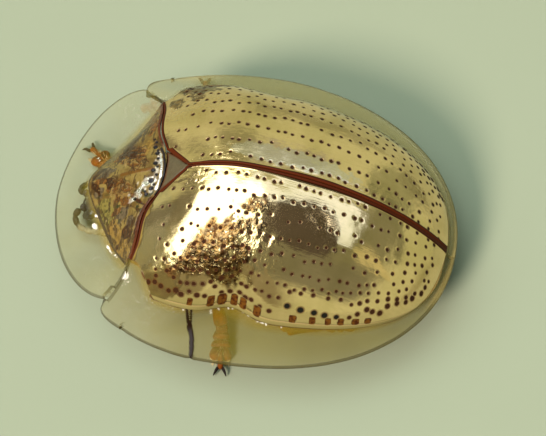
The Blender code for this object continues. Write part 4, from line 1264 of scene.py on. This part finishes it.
def makeFloor():
    bpy.ops.mesh.primitive_plane_add(size=studio["floorSize"], location=(0, 0, 0))
    floor = bpy.context.object
    floor.name = "studioFloor"
    made = Nodes("floorPaper")
    colour = studio["floorColour"]
    made.set(Base_Color=made.blend(made.noise(0.4, 2), colour, tuple(c * 0.97 for c in colour)), Roughness=0.6,
             Specular_IOR_Level=0.2)
    floor.data.materials.append(made.material)


def makeKeyLight():
    azimuth, height = math.radians(studio["keyAzimuth"]), math.radians(studio["keyHeight"])
    light = bpy.data.lights.new("keyLight", "AREA")
    light.shape = "DISK"
    light.size = 2 * studio["keyDistance"] * math.tan(math.radians(studio["keySpread"]))
    light.energy = studio["keyRadiance"] * math.pi * math.pi * (light.size / 2) ** 2
    light.color = studio["keyColour"]
    lamp = bpy.data.objects.new("keyLight", light)
    aim = Vector((math.sin(azimuth) * math.cos(height), -math.cos(azimuth) * math.cos(height), math.sin(height)))
    lamp.location = aim * studio["keyDistance"]
    lamp.visible_glossy = False   # a patch of the room stands for it in reflections
    lamp.rotation_euler = aim.to_track_quat("Z", "Y").to_euler()
    bpy.context.scene.collection.objects.link(lamp)


def makeRoom():
    # the room is a dome, drawn from above: its middle is overhead, its edge is the horizon, +x is the insect's left
    world = bpy.data.worlds.new("studioRoom")
    bpy.context.scene.world = world
    world.use_nodes = True
    made = Nodes(None, world.node_tree)
    split = made.add("ShaderNodeSeparateXYZ")
    made.feed(split.inputs["Vector"], made.add("ShaderNodeTexCoord").outputs["Generated"])
    x, y, z = split.outputs
    slope = made.times(made.times(z, None, "ARCCOSINE"), 2 / math.pi)
    flat = made.times(made.plus(made.times(x, x), made.times(y, y)), None, "SQRT")
    flat = made.most(flat, 1e-4)
    planX, planY = (made.times(made.times(axis, flat, "DIVIDE"), slope) for axis in (x, y))
    colour = studio["walls"]
    for centre, size, turn, corner, soft, shade in studio["patches"]:
        cos, sin = math.cos(math.radians(turn)), math.sin(math.radians(turn))
        offX, offY = made.times(planX, centre[0], "SUBTRACT"), made.times(planY, centre[1], "SUBTRACT")
        along = made.plus(made.times(offX, cos / size[0]), made.times(offY, sin / size[0]))
        across = made.times(made.times(offY, cos / size[1]), made.times(offX, sin / size[1]), "SUBTRACT")
        along, across = (made.times(made.times(side, None, "ABSOLUTE"), corner, "POWER") for side in (along, across))
        reach = made.times(made.plus(along, across), 1 / corner, "POWER")
        colour = made.blend(made.ramp(reach, 1 + soft, 1 - soft), colour, shade)
    made.feed(world.node_tree.nodes["Background"].inputs["Color"], colour)


def makeCamera():
    # the view that the two halves of the shell have in the photo
    right, back = Vector(studio["cameraRight"]).normalized(), Vector(studio["cameraBack"])
    back = (back - right * back.dot(right)).normalized()
    up = back.cross(right)
    distance = studio["cameraDistance"]
    data = bpy.data.cameras.new("photoCamera")
    data.lens = 36 * distance / (studio["photoWidth"] / studio["pixelsPerMm"] * mm)
    data.clip_start = 0.01
    data.clip_end = 5
    camera = bpy.data.objects.new("photoCamera", data)
    place = Vector(studio["cameraMiddle"]) * mm + back * distance
    camera.matrix_world = Matrix(((*right, 0), (*up, 0), (*back, 0), (*place, 1))).transposed()
    bpy.context.scene.collection.objects.link(camera)
    bpy.context.scene.camera = camera


makeFloor()
makeKeyLight()
makeRoom()
makeCamera()
bpy.context.scene.view_settings.view_transform = "Standard"
print("studio done")
